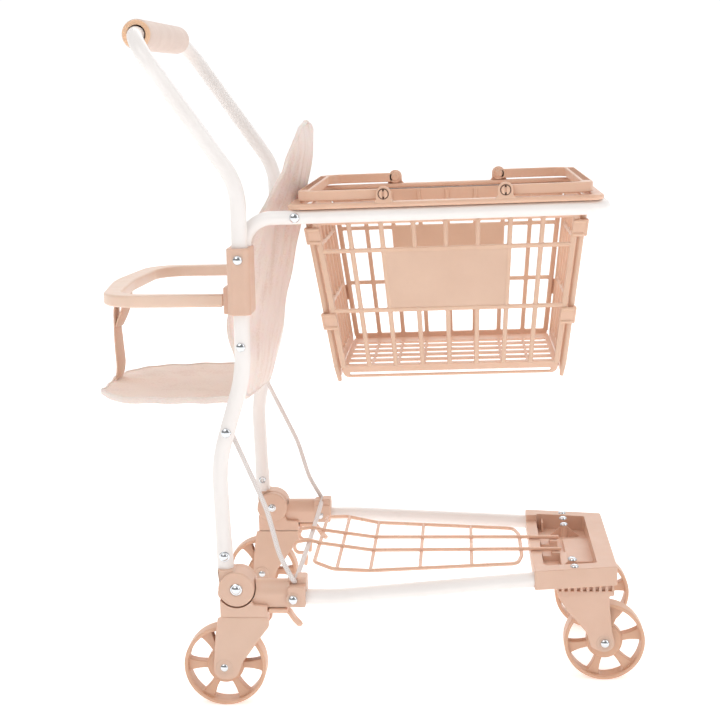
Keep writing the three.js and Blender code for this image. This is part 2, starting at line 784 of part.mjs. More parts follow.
function bailLug(end, s) {
  const x = end * BAIL_PIVOT;
  const base = profileAlongY(outline([
    [x - 8, RIM_TOP - 1],
    [x + 8, RIM_TOP - 1],
    [x + 5, BAIL_PIVOT_Z],
    [x - 5, BAIL_PIVOT_Z],
  ]), s * 107.4, s * 111.6);
  const eye = rod([x, s * 107.4, BAIL_PIVOT_Z], [x, s * 111.6, BAIL_PIVOT_Z], 5.6, 16);
  return join(base, eye);
}

function basketRim() {
  const plan = (x, y, radius) => roundedShape([
    [-x, -y, radius],
    [x, -y, radius],
    [x, y, radius],
    [-x, y, radius],
  ]);
  const frame = plan(RIM_HALF_LENGTH, RIM_HALF_WIDTH, 12);
  frame.holes.push(new THREE.Path(plan(113.2, 100.4, 6).getPoints()));
  const lugs = [-1, 1].flatMap((end) => [-1, 1].map((s) => bailLug(end, s)));
  const pins = [-1, 1].map((end) => hole(end * BAIL_PIVOT, BAIL_PIVOT_Z, -130, 130, 2.2));
  return cut(join(planAlongZ(frame, RIM_BASE, RIM_TOP), ...lugs), ...pins);
}

function bail(end) {
  const [outerY, innerY] = [106.8, 101.4];
  const inner = BAIL_REACH - 9;
  const low = BAIL_PIVOT_Z - 4.3;
  const high = BAIL_PIVOT_Z + 4.3;
  const plan = roundedShape([
    [end * BAIL_PIVOT, -outerY],
    [end * BAIL_REACH, -outerY, 14],
    [end * BAIL_REACH, outerY, 14],
    [end * BAIL_PIVOT, outerY],
    [end * BAIL_PIVOT, innerY],
    [end * inner, innerY, 6],
    [end * inner, -innerY, 6],
    [end * BAIL_PIVOT, -innerY],
  ], 4);
  const eyes = [-1, 1].map((s) =>
    rod([end * BAIL_PIVOT, s * innerY, BAIL_PIVOT_Z], [end * BAIL_PIVOT, s * outerY, BAIL_PIVOT_Z],
      5, 16));
  const pin = hole(end * BAIL_PIVOT, BAIL_PIVOT_Z, -130, 130, 2.2);
  return cut(join(planAlongZ(plan, low, high), ...eyes), pin);
}

const bailScrew = (end, s) =>
  domedBolt(end * BAIL_PIVOT, BAIL_PIVOT_Z, s * (101.4 - GAP), s * (111.6 + GAP), 3.9, 1.85, 1.4);

// The assembly

const cart = new THREE.Group();

function place(name, geometry, finish, parent = cart) {
  const piece = new THREE.Mesh(geometry, finish);
  piece.name = name;
  parent.add(piece);
}

place('push_handle', pushHandle(), whiteTube());
place('handle_grip', handleGrip(), gripFoam());
place('basket_ring', basketRing(), whiteTube());
place('backrest', backrest(), seatFabric());
place('seat_pan', seatPan(), seatFabric());
place('bumper_bar', bumperBar(), peachPlastic());
place('crotch_strap', crotchStrap(), seatFabric());
place('front_platform', frontPlatform(), peachPlastic());
place('rack', rack(), peachWire());
place('elastic_cord', elasticCord(), elastic());

for (const [side, s] of [['left', 1], ['right', -1]]) {
  const across = (inner, outer) => [s * (inner - GAP), s * (outer + GAP)];
  place(`collar_${side}`, collar(s), peachPlastic());
  place(`leg_${side}`, leg(s), whiteTube());
  place(`knuckle_${side}`, knuckle(s), peachPlastic());
  place(`collar_bolt_${side}`, domedBolt(23.1, 370.3, ...across(96.5, 128.2)), chrome());
  place(`seat_bolt_${side}`, domedBolt(22.6, 300.7, ...across(111.6, 124.4)), chrome());
  place(`cord_bolt_${side}`, domedBolt(8.2, 231, ...across(111.6, 124.4)), chrome());
  place(`ring_bolt_${side}`, domedBolt(66.8, ringZ(66.8), ...across(100.7, 111.7)), chrome());
  place(`rear_housing_${side}`, rearHousing(s), peachPlastic());
  place(`rear_fork_${side}`, rearFork(s), peachPlastic());
  place(`base_tube_${side}`, baseTube(s), whiteTube());
  const pivotEnds = across(CHEEK_INNER_Y, HOUSING_OUTER_Y);
  place(`pivot_bolt_${side}`, domedBolt(PIVOT_X, PIVOT_Z, ...pivotEnds, 4.8, 2.2, 2.6), chrome());
  place(`housing_bolt_${side}`, domedBolt(58.6, 93, ...across(107, 129.4), 4.6), chrome());
  place(`release_lever_${side}`, releaseLever(s), peachPlastic());
  place(`front_fork_${side}`, frontFork(s), peachPlastic());
  place(`rear_wheel_${side}`, wheel(0, s * REAR_Y, 0), peachPlastic());
  place(`front_wheel_${side}`, wheel(FRONT_AXLE_X, s * FRONT_Y, -0.2), peachPlastic());
  place(`rear_axle_${side}`, axle(0, s * REAR_Y), chrome());
  place(`front_axle_${side}`, axle(FRONT_AXLE_X, s * FRONT_Y), chrome());
}

const basket = new THREE.Group();
basket.position.set(BASKET_X, 0, BASKET_Z);
basket.rotation.y = -TILT;
cart.add(basket);
place('basket_rim', basketRim(), peachPlastic(), basket);
place('basket_floor', basketFloor(), peachPlastic(), basket);
for (const [side, s] of [['left', 1], ['right', -1]]) {
  place(`basket_side_${side}`, sidePanel(s), peachPlastic(), basket);
}
for (const [name, end] of [['front', 1], ['rear', -1]]) {
  place(`basket_end_${name}`, endPanel(end), peachPlastic(), basket);
  place(`bail_${name}`, bail(end), peachPlastic(), basket);
  place(`bail_screw_${name}_left`, bailScrew(end, 1), peachPlastic(), basket);
  place(`bail_screw_${name}_right`, bailScrew(end, -1), peachPlastic(), basket);
}

cart.position.x = -CENTRE_X;

export default cart;
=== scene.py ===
import json
import math

import bmesh
import bpy
from mathutils import Matrix, Vector
from mathutils.geometry import tessellate_polygon

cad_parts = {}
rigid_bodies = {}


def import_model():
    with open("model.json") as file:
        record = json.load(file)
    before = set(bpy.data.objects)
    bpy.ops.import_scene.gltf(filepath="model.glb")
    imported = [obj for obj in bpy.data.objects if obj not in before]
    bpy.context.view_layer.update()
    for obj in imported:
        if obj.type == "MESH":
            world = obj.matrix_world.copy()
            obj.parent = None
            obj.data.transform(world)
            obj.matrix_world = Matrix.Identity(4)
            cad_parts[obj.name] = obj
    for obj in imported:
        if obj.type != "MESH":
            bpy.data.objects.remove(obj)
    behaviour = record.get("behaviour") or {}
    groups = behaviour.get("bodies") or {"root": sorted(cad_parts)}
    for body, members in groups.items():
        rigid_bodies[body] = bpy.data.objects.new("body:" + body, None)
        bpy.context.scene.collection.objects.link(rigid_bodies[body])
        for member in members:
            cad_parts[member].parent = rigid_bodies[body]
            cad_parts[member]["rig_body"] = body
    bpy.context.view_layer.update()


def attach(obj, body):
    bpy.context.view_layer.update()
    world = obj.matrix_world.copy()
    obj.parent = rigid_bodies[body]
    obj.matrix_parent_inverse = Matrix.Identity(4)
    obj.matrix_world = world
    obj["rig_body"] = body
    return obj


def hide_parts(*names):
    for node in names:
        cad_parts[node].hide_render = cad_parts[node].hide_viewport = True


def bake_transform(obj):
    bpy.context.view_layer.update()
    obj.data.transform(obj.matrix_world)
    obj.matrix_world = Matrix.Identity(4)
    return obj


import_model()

# The parts are laid out in millimetres with x = 0 on the rear axle, as in the CAD source,
# and shifted so that x = 0 is the middle of the cart's length.
CENTRE_X = 119.65
SIDES = (("left", 1), ("right", -1))

WHEEL_R = 34.0
REAR_Y = 118.0
FRONT_AXLE_X = 315.8
FRONT_Y = 61.0
TUBE_R = 6.35
RING_R = 5.5
RING_Y = 106.2
TILT = math.radians(1)
PIVOT = (12.2, 101.4)
HEEL = (2.8, 97.7)
CRADLE_Y, CUT_Y = 111.4, 140
FLANGE_BOLT = (58.5, 92.9)
LEG_X = 23.5
GRIP_X, GRIP_Z = -57.8, 546
BAIL_PIVOT_X = 47.6
BASKET = Matrix.Translation((186, 0, 340)) @ Matrix.Rotation(-TILT, 4, "Y")


def ring_z(x):
    return 403.4 + (x - 186) * math.tan(TILT)


# ------------------------------------------------------------------ materials


def new_material(name, **settings):
    """A new material. The settings are inputs of its shader, with _ for each space."""
    made = bpy.data.materials.new(name)
    made.use_nodes = True
    tree = made.node_tree
    bsdf = tree.nodes["Principled BSDF"]
    for key, value in settings.items():
        bsdf.inputs[key.replace("_", " ")].default_value = value
    return made, tree, bsdf


def node(tree, kind, inputs=None, **settings):
    """A new node. Each input is a plain value or another node's output."""
    made = tree.nodes.new(kind)
    for key, value in settings.items():
        setattr(made, key, value)
    for key, value in (inputs or {}).items():
        if isinstance(value, bpy.types.NodeSocket):
            tree.links.new(value, made.inputs[key])
        else:
            made.inputs[key].default_value = value
    return made


def maths(tree, operation, *values):
    return node(tree, "ShaderNodeMath", dict(enumerate(values)), operation=operation).outputs[0]


def noise(tree, scale, detail=3.0, roughness=0.5, stretch=None):
    """A noise in object space; scale is features per metre."""
    where = node(tree, "ShaderNodeTexCoord").outputs["Object"]
    if stretch:
        where = node(tree, "ShaderNodeMapping", {"Vector": where, "Scale": stretch}).outputs["Vector"]
    inputs = {"Vector": where, "Scale": scale, "Detail": detail, "Roughness": roughness}
    return node(tree, "ShaderNodeTexNoise", inputs).outputs["Fac"]


def ramp(tree, source, low, high, start=0.3, end=0.7):
    """A colour (or grey value) that follows source from low to high."""
    made = node(tree, "ShaderNodeValToRGB", {"Fac": source})
    for element, position, colour in zip(made.color_ramp.elements, (start, end), (low, high)):
        element.position = position
        element.color = (*colour, 1)
    return made.outputs["Color"]


def paint(tree, bsdf, source, low, high, start=0.3, end=0.7):
    tree.links.new(ramp(tree, source, low, high, start, end), bsdf.inputs["Base Color"])


def bump(tree, bsdf, *heights):
    """Stacks bumps: each entry is (height output, strength, distance in metres)."""
    normal = None
    for height, strength, distance in heights:
        inputs = {"Height": height, "Strength": strength, "Distance": distance}
        if normal is not None:
            inputs["Normal"] = normal
        normal = node(tree, "ShaderNodeBump", inputs).outputs["Normal"]
    tree.links.new(normal, bsdf.inputs["Normal"])


def plastic(name, dark, light, roughness=0.42, texture=0.12):
    """Moulded plastic: slight cloudiness in the colour, a fine spark-eroded grain, soft light within."""
    made, tree, bsdf = new_material(
        name, Subsurface_Weight=0.12, Subsurface_Radius=(1.0, 0.55, 0.35), Subsurface_Scale=0.003,
        Specular_IOR_Level=0.75,
    )
    paint(tree, bsdf, noise(tree, 26, 4, 0.6), dark, light, 0.3, 0.72)
    waves = noise(tree, 90, 2, 0.4)
    sheen = ramp(tree, waves, (roughness - 0.05,) * 3, (roughness + 0.07,) * 3)
    tree.links.new(sheen, bsdf.inputs["Roughness"])
    bump(tree, bsdf, (waves, 0.12, 0.0006), (noise(tree, 1900, 2), texture, 0.00005))
    return made


def powder_coat():
    made, tree, bsdf = new_material("powder_coat", Roughness=0.33, Coat_Weight=0.25, Coat_Roughness=0.18)
    paint(tree, bsdf, noise(tree, 18), (0.89, 0.845, 0.82), (0.935, 0.90, 0.88))
    bump(tree, bsdf, (noise(tree, 220, 1), 0.02, 0.00002))
    return made


def plated():
    made, tree, bsdf = new_material("chrome_plate", Base_Color=(0.72, 0.75, 0.78, 1), Metallic=1)
    scratches = noise(tree, 420, 4, 0.6, (1, 6, 1))
    tree.links.new(ramp(tree, scratches, (0.07,) * 3, (0.18,) * 3), bsdf.inputs["Roughness"])
    bump(tree, bsdf, (scratches, 0.05, 0.00005))
    return made


def foam():
    made, tree, bsdf = new_material("grip_foam", Roughness=0.85, Sheen_Weight=0.25)
    where = node(tree, "ShaderNodeTexCoord").outputs["Object"]
    cells = node(tree, "ShaderNodeTexVoronoi", {"Vector": where, "Scale": 1500.0}).outputs["Distance"]
    cloud = noise(tree, 60, 4, 0.6)
    paint(tree, bsdf, cloud, (0.74, 0.585, 0.51), (0.80, 0.65, 0.575))
    bump(tree, bsdf, (cloud, 0.25, 0.0008), (cells, 0.35, 0.0003))
    return made


def uv_parts(tree):
    uv = node(tree, "ShaderNodeUVMap").outputs["UV"]
    return node(tree, "ShaderNodeSeparateXYZ", {"Vector": uv}).outputs


def weave_height(tree, per_metre):
    """Plain weave: two crossed sets of threads from the UV map, which is in metres of cloth."""
    turns = [maths(tree, "MULTIPLY", part, per_metre * 2 * math.pi) for part in uv_parts(tree)[:2]]
    return maths(tree, "MULTIPLY", *[maths(tree, "SINE", turn) for turn in turns])


def fabric(name, dark, light, threads=650, translucent=0.12, crease_scale=28, drape=(1, 1, 1), crease=0.25):
    """Woven polyester: threads, slubs, faint creases and a soft sheen at grazing angles. The colour follows the
    slubs and also the creases, which paints shade into their hollows and light onto their ridges.
    """
    made, tree, bsdf = new_material(
        name, Roughness=0.88, Sheen_Weight=0.35, Sheen_Roughness=0.4, Specular_IOR_Level=0.25,
        Subsurface_Weight=translucent, Subsurface_Scale=0.002,
    )
    creases = noise(tree, crease_scale, 5, 0.62, drape)
    slubs = noise(tree, 500, 3, 0.6, (1, 1, 5))
    # Colour from the slubs is the yarn's own; colour from the creases is painted shade and painted light.
    paint(tree, bsdf, maths(tree, "ADD", creases, slubs), dark, light, 0.8, 1)
    bump(
        tree, bsdf, (creases, crease, 0.002), (weave_height(tree, threads), 0.22, 0.0003), (slubs, 0.2, 0.0002),
    )
    return made


def braid():
    """Braided elastic: two spiral sets of yarns, from UVs of turns round and metres along."""
    made, tree, bsdf = new_material("braided_elastic", Roughness=0.75, Sheen_Weight=0.3)
    round_it, along_it = uv_parts(tree)[:2]
    yarns, per_metre = 6 * 2 * math.pi, 420 * 2 * math.pi

    def spiral(sign):
        turns = maths(tree, "MULTIPLY", round_it, yarns * sign)
        return maths(tree, "SINE", maths(tree, "MULTIPLY_ADD", along_it, per_metre, turns))

    highest = maths(tree, "MAXIMUM", spiral(1), spiral(-1))
    # The colour follows the yarns' height: painted shade in the grooves between yarns.
    paint(tree, bsdf, highest, (0.76, 0.68, 0.65), (0.90, 0.85, 0.83), 0.0, 0.9)
    bump(tree, bsdf, (highest, 0.6, 0.0003))
    return made


def painted_shadow_material():
    made, tree, bsdf = new_material("shadow_gap", Roughness=0.8)
    # Painted shadow: a near-black colour for a sheet that stands where a recess lies in shade.
    paint(tree, bsdf, noise(tree, 300, 2), (0.10, 0.055, 0.04), (0.16, 0.09, 0.065))
    return made


PEACH = plastic("peach_plastic", (0.705, 0.462, 0.345), (0.755, 0.51, 0.39))
PEACH_SMOOTH = plastic("peach_plastic_smooth", (0.745, 0.47, 0.335), (0.80, 0.52, 0.375), 0.34, 0.05)
# A paler copy of the peach plastic, with painted light: it stands for tops that show near white under the light
# from above and behind.
PEACH_PAINTED_LIGHT = plastic("peach_plastic_painted_light", (0.79, 0.575, 0.45), (0.84, 0.63, 0.505), 0.34, 0.05)
GRIP_RING = plastic("grip_ring_plastic", (0.85, 0.53, 0.33), (0.89, 0.58, 0.38), 0.45, 0.05)
WHEEL_PLASTIC = plastic("wheel_plastic", (0.685, 0.405, 0.265), (0.74, 0.45, 0.305), 0.4, 0.08)
WIRE = plastic("coated_wire", (0.76, 0.48, 0.345), (0.83, 0.55, 0.41), 0.3, 0.05)
WHITE = powder_coat()
CHROME = plated()
FOAM = foam()
# Its creases are drawn out into tall streaks; the colour that follows them paints the shade and light of the
# pleats.
BACK_CLOTH = fabric(
    "back_cloth", (0.80, 0.665, 0.60), (0.90, 0.80, 0.755), translucent=0.3, crease_scale=95,
    drape=(1, 1, 0.09), crease=0.45,
)
SEAT_CLOTH = fabric("seat_cloth", (0.80, 0.62, 0.53), (0.87, 0.71, 0.62))
PIPING = fabric("piping_cloth", (0.80, 0.68, 0.62), (0.87, 0.76, 0.70), 900)
WEBBING = fabric("strap_webbing", (0.68, 0.455, 0.345), (0.77, 0.54, 0.42), 450)
BRAID = braid()
PAINTED_SHADOW = painted_shadow_material()

# ------------------------------------------------------------------ mesh helpers, in millimetres


def grid_mesh(rows, closed_across=False, closed_along=False):
    """A bmesh of quads over rows of points."""
    bm = bmesh.new()
    made = [[bm.verts.new(p) for p in row] for row in rows]
    count = len(made[0])
    last_row = len(made) if closed_along else len(made) - 1
    last_column = count if closed_across else count - 1
    for i in range(last_row):
        for j in range(last_column):
            a, b = made[i][j], made[i][(j + 1) % count]
            c, d = made[(i + 1) % len(made)][(j + 1) % count], made[(i + 1) % len(made)][j]
            bm.faces.new((a, b, c, d))
    return bm, made


def capped(rows):
    """A bmesh of quads over rows of closed outlines, with a face at each end."""
    bm, made = grid_mesh(rows, closed_across=True)
    bm.faces.new(list(reversed(made[0])))
    bm.faces.new(made[-1])
    return bm


def centreline(corners, step=5.0, straight=None):
    """Points along straight runs joined by round bends; a bend is (x, y, z, radius)."""
    points = [Vector(corners[0][:3])]
    for i in range(1, len(corners) - 1):
        corner, radius = Vector(corners[i][:3]), corners[i][3]
        into = (corner - Vector(corners[i - 1][:3])).normalized()
        away = (Vector(corners[i + 1][:3]) - corner).normalized()
        angle = into.angle(away)
        side = (away - into * away.dot(into)).normalized()
        start = corner - into * radius * math.tan(angle / 2)
        steps = max(2, round(math.degrees(angle) / step))
        for k in range(steps + 1):
            turned = angle * k / steps
            points.append(start + into * radius * math.sin(turned) + side * radius * (1 - math.cos(turned)))
    points.append(Vector(corners[-1][:3]))
    if straight:
        points = divided(points, straight)
    return points


def divided(points, longest):
    made = [points[0]]
    for a, b in zip(points, points[1:]):
        parts = max(1, math.ceil((b - a).length / longest))
        made += [a.lerp(b, k / parts) for k in range(1, parts + 1)]
    return made


def frames_along(points, up=None):
    """A normal and a side at each point, carried along without twist."""
    tangents = []
    for i in range(len(points)):
        before = points[max(i - 1, 0)]
        after = points[min(i + 1, len(points) - 1)]
        tangents.append((after - before).normalized())
    normal = Vector(up) if up else tangents[0].orthogonal()
    made = []
    for tangent in tangents:
        normal = (normal - tangent * normal.dot(tangent)).normalized()
        made.append((normal.copy(), tangent.cross(normal)))
    return made


def rings_along(points, section, up=None):
    """The outlines of a solid that follows points. section(i, share) gives (along normal, along side)."""
    last = len(points) - 1
    return [
        [point + normal * a + side * b for a, b in section(i, i / last)]
        for i, (point, (normal, side)) in enumerate(zip(points, frames_along(points, up)))
    ]


def sweep(points, section, up=None):
    return capped(rings_along(points, section, up))


def circle(radius, count):
    angles = [2 * math.pi * i / count for i in range(count)]
    return [(radius * math.cos(a), radius * math.sin(a)) for a in angles]


def rod(start, end, radius, count=24):
    return sweep([Vector(start), Vector(end)], lambda i, s: circle(radius, count))


def wire(points, radius, count=14):
    """A round wire with slightly domed ends."""
    points = list(points)
    first = points[0] + (points[0] - points[1]).normalized() * radius * 0.4
    last = points[-1] + (points[-1] - points[-2]).normalized() * radius * 0.4
    whole = [first, *points, last]
    radii = [radius * 0.6] + [radius] * len(points) + [radius * 0.6]
    return sweep(whole, lambda i, s: circle(radii[i], count))


def pipe(points, radius, bore, radius_at=None):
    """A round tube whose outside may change in radius along its length."""
    outer = rings_along(points, lambda i, share: circle(radius_at(share) if radius_at else radius, 36))
    inner = rings_along(points, lambda i, share: circle(bore, 36))
    return grid_mesh(outer + inner[::-1], closed_across=True, closed_along=True)[0]


def lathe(profile, origin, axis=(0, 1, 0), count=32):
    """profile is (radius, distance along the axis); a radius of 0 closes the shape at its ends."""
    axis = Vector(axis).normalized()
    normal = axis.orthogonal().normalized()
    side = axis.cross(normal)
    origin = Vector(origin)
    bm = bmesh.new()
    rows = []
    for radius, along in profile:
        centre = origin + axis * along
        if radius < 1e-6:
            rows.append([bm.verts.new(centre)])
        else:
            rows.append([bm.verts.new(centre + normal * a + side * b) for a, b in circle(radius, count)])
    closed = len(rows[0]) > 1 and len(rows[-1]) > 1
    pairs = list(zip(rows, rows[1:])) + ([(rows[-1], rows[0])] if closed else [])
    for low, high in pairs:
        for j in range(count):
            k = (j + 1) % count
            if len(low) == 1:
                bm.faces.new((low[0], high[j], high[k]))
            elif len(high) == 1:
                bm.faces.new((low[j], high[0], low[k]))
            else:
                bm.faces.new((low[j], high[j], high[k], low[k]))
    bmesh.ops.recalc_face_normals(bm, faces=bm.faces)
    return bm


def fillet(corners, steps=5):
    """A closed outline with round corners: (x, y, radius) for each corner."""
    made = []
    for i, corner in enumerate(corners):
        here = Vector(corner[:2])
        radius = corner[2] if len(corner) > 2 else 0
        if not radius:
            made.append(here)
            continue
        back = (Vector(corners[i - 1][:2]) - here).normalized()
        ahead = (Vector(corners[(i + 1) % len(corners)][:2]) - here).normalized()
        half = back.angle(ahead) / 2
        reach = radius / math.tan(half)
        centre = here + (back + ahead).normalized() * radius / math.sin(half)
        first, last = here + back * reach - centre, here + ahead * reach - centre
        sweep_angle = math.atan2(first.x * last.y - first.y * last.x, first.dot(last))
        for k in range(steps + 1):
            a = sweep_angle * k / steps
            made.append(
                centre
                + Vector(
                    (
                        first.x * math.cos(a) - first.y * math.sin(a),
                        first.x * math.sin(a) + first.y * math.cos(a),
                    )
                )
            )
    return made


def rectangle(x1, y1, x2, y2, radius=0):
    """The corners of a rectangle, for fillet."""
    return [(x1, y1, radius), (x2, y1, radius), (x2, y2, radius), (x1, y2, radius)]


def area_of(loop):
    return sum(a[0] * b[1] - b[0] * a[1] for a, b in zip(loop, loop[1:] + loop[:1])) / 2


def inset(loop, distance):
    """The outline moved inwards (to the left of its direction) by distance."""
    made = []
    count = len(loop)
    for i in range(count):
        before, here, after = loop[i - 1], loop[i], loop[(i + 1) % count]
        d1, d2 = (here - before).normalized(), (after - here).normalized()
        n1, n2 = Vector((-d1.y, d1.x)), Vector((-d2.y, d2.x))
        mitre = n1 + n2
        scale = 1 + n1.dot(n2)
        made.append(here + mitre * (distance / max(scale, 0.35)))
    return made


def plate(outer, low, high, bevel, place, holes=(), rings=3):
    """A flat piece from outline to outline with rounded edges. place(a, b, n) gives the point in space."""
    bm = bmesh.new()
    loops = []
    for k, loop in enumerate([outer, *holes]):
        loop = [Vector(p[:2]) for p in loop]
        if (area_of(loop) > 0) != (k == 0):
            loop.reverse()
        loops.append(loop)
    levels = []
    for k in range(rings + 1):
        angle = math.pi / 2 * k / rings
        levels.append((bevel * (1 - math.sin(angle)), low + bevel * (1 - math.cos(angle))))
    for k in range(rings + 1):
        angle = math.pi / 2 * (1 - k / rings)
        levels.append((bevel * (1 - math.sin(angle)), high - bevel * (1 - math.cos(angle))))
    if bevel <= 0:
        levels = [(0, low), (0, high)]
    ends = {0: [], len(levels) - 1: []}
    flats = {0: [], len(levels) - 1: []}
    for loop in loops:
        rows = []
        for k, (distance, height) in enumerate(levels):
            moved = inset(loop, distance) if distance else loop
            rows.append([bm.verts.new(place(p.x, p.y, height)) for p in moved])
            if k in ends:
                ends[k].append(rows[-1])
                flats[k].append([Vector((p.x, p.y, 0)) for p in moved])
        count = len(loop)
        for i in range(len(rows) - 1):
            for j in range(count):
                m = (j + 1) % count
                bm.faces.new((rows[i][j], rows[i][m], rows[i + 1][m], rows[i + 1][j]))
    for k, rings_here in ends.items():
        flat = [v for ring in rings_here for v in ring]
        for triangle in tessellate_polygon(flats[k]):
            corners = [flat[t] for t in triangle]
            if len(set(corners)) == 3:
                try:
                    bm.faces.new(corners)
                except ValueError:
                    pass
    bmesh.ops.recalc_face_normals(bm, faces=bm.faces)
    return bm


def profile(y_sign=1):
    """Places a side outline (x, z) with n along y."""
    return lambda a, b, n: (a, y_sign * n, b)


def plan(a, b, n):
    """Places a plan outline (x, y) with n along z."""
    return (a, b, n)


def block(low, high, bevel=0.6, segments=2):
    """A box between two opposite corners, given in either order."""
    bm = bmesh.new()
    bmesh.ops.create_cube(bm, size=1)
    size = [abs(h - l) for l, h in zip(low, high)]
    middle = [(h + l) / 2 for l, h in zip(low, high)]
    for v in bm.verts:
        v.co = Vector([c * s + m for c, s, m in zip(v.co, size, middle)])
    if bevel:
        bmesh.ops.bevel(bm, geom=list(bm.edges), offset=bevel, segments=segments, profile=0.5, affect="EDGES")
    return bm


def dome(x, z, y, outward, radius=4.0, height=2.4):
    """A domed screw head whose flat side is at y."""
    steps = 8
    points = [(radius * 0.97, -0.5), (radius, 0.0)]
    for k in range(1, steps + 1):
        a = math.pi / 2 * k / steps
        points.append((radius * math.cos(a), height * math.sin(a)))
    points[-1] = (0, height)
    return lathe([(0, -0.5), *points], (x, y, z), (0, outward, 0))


def moved(bm, matrix):
    bmesh.ops.transform(bm, matrix=matrix, verts=bm.verts)
    return bm


def merged(parts):
    whole = bmesh.new()
    for part in parts:
        mesh = bpy.data.meshes.new("part")
        part.to_mesh(mesh)
        part.free()
        whole.from_mesh(mesh)
        bpy.data.meshes.remove(mesh)
    return whole


def new_object(name, data):
    made = bpy.data.objects.new(name, data)
    bpy.context.scene.collection.objects.link(made)
    return made


def to_frame(bm):
    for v in bm.verts:
        v.co = Vector(((v.co.x - CENTRE_X) / 1000, v.co.y / 1000, v.co.z / 1000))
    return bm


def carve(bm, tools):
    """bm less the tools, all closed solids in millimetres."""
    mesh = bpy.data.meshes.new("whole")
    bm.to_mesh(mesh)
    whole = new_object("whole", mesh)
    cutters = []
    for tool in tools:
        tool_mesh = bpy.data.meshes.new("cutter")
        tool.to_mesh(tool_mesh)
        cutter = new_object("cutter", tool_mesh)
        modifier = whole.modifiers.new("cut", "BOOLEAN")
        modifier.operation = "DIFFERENCE"
        modifier.solver = "EXACT"
        modifier.object = cutter
        cutters.append(cutter)
    graph = bpy.context.evaluated_depsgraph_get()
    result = bpy.data.meshes.new_from_object(whole.evaluated_get(graph))
    made = bmesh.new()
    made.from_mesh(result)
    for obj in [whole, *cutters]:
        data = obj.data
        bpy.data.objects.remove(obj)
        bpy.data.meshes.remove(data)
    bpy.data.meshes.remove(result)
    return made


def piece(name, parts, material, body, slot, replaces=(), sharp=38, weighted=True):
    """Makes an object from meshes in millimetres, and lets it ride on a body."""
    bm = merged(parts) if isinstance(parts, (list, tuple)) else parts
    to_frame(bm)
    mesh = bpy.data.meshes.new(name)
    bm.to_mesh(mesh)
    bm.free()
    for polygon in mesh.polygons:
        polygon.use_smooth = True
    mesh.set_sharp_from_angle(angle=math.radians(sharp))
    made = new_object(name, mesh)
    mesh.materials.append(material)
    if weighted:
        modifier = made.modifiers.new("normals", "WEIGHTED_NORMAL")
        modifier.keep_sharp = True
    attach(made, body)
    if replaces:
        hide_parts(*replaces)
    return made


def stand_in(name, *about, **settings):
    """A piece that takes the place of the CAD part of the same name."""
    return piece(name, *about, [name], **settings)


def surface_uv(bm, place):
    """Gives a mesh UVs in metres, from each corner's place in millimetres."""
    layer = bm.loops.layers.uv.new("UVMap")
    for face in bm.faces:
        for loop in face.loops:
            loop[layer].uv = place(loop.vert.co)
    bmesh.ops.recalc_face_normals(bm, faces=bm.faces)
    return bm


# ------------------------------------------------------------------ camera, light, floor


def make_camera():
    data = bpy.data.cameras.new("camera")
    data.sensor_width = 36
    data.lens = 73.615
    data.clip_end = 50
    made = new_object("camera", data)
    yaw, pitch, roll = (math.radians(a) for a in (-4.034, 10.613, -1.247))
    forward = Vector((math.sin(yaw) * math.cos(pitch), math.cos(yaw) * math.cos(pitch), -math.sin(pitch)))
    level = Vector((math.cos(yaw), -math.sin(yaw), 0))
    upward = level.cross(forward)
    right = level * math.cos(roll) + upward * math.sin(roll)
    up = upward * math.cos(roll) - level * math.sin(roll)
    matrix = Matrix((right, up, -forward)).transposed().to_4x4()
    matrix.translation = Vector(((197.242 - CENTRE_X) / 1000, -1.262571, 0.503543))
    made.matrix_world = matrix
    bpy.context.scene.camera = made


def area_light(name, place, target, size, power, colour=(1, 1, 1)):
    data = bpy.data.lights.new(name, "AREA")
    data.shape = "RECTANGLE"
    data.size, data.size_y = size
    data.energy = power
    data.color = colour
    made = new_object(name, data)
    made.location = place
    made.rotation_mode = "QUATERNION"
    made.rotation_quaternion = (Vector(target) - Vector(place)).to_track_quat("-Z", "Y")


def studio():
    """A white studio: bright above and behind the cart, dimmer in front, on a pale floor."""
    scene = bpy.context.scene
    scene.view_settings.view_transform = "Standard"
    world = bpy.data.worlds.new("studio")
    scene.world = world
    world.use_nodes = True
    tree = world.node_tree
    back = tree.nodes["Background"]
    where = node(tree, "ShaderNodeTexCoord")
    inputs = {0: where.outputs["Generated"], 1: (0.05, 0.62, 0.78)}
    lean = node(tree, "ShaderNodeVectorMath", inputs, operation="DOT_PRODUCT")
    light = ramp(tree, lean.outputs["Value"], (0.25, 0.247, 0.244), (1.0, 1.0, 1.0), 0, 0.75)
    tree.links.new(light, back.inputs["Color"])
    white = node(tree, "ShaderNodeBackground", {"Color": (1, 1, 1, 1), "Strength": 1.05})
    path = node(tree, "ShaderNodeLightPath")
    inputs = {0: path.outputs["Is Camera Ray"], 1: back.outputs[0], 2: white.outputs[0]}
    mix = node(tree, "ShaderNodeMixShader", inputs)
    tree.links.new(mix.outputs[0], tree.nodes["World Output"].inputs["Surface"])
    area_light("key", (-1.1, -1.6, 2.0), (0, 0, 0.25), (1.6, 1.6), 16, (1.0, 0.985, 0.97))
    area_light("fill", (1.7, -1.0, 1.2), (0, 0, 0.25), (1.4, 1.8), 9)
    area_light("rim", (0.3, 2.0, 1.9), (0, 0, 0.3), (2.4, 1.2), 10)

    mesh = bpy.data.meshes.new("floor")
    mesh.from_pydata([(-12, -12, 0), (12, -12, 0), (12, 12, 0), (-12, 12, 0)], [], [(0, 1, 2, 3)])
    floor = new_object("floor", mesh)
    pale = new_material(
        "pale_floor", Base_Color=(0.95, 0.945, 0.94, 1), Roughness=0.8, Emission_Color=(1, 1, 1, 1),
        Emission_Strength=0.42,
    )
    mesh.materials.append(pale[0])


make_camera()
studio()

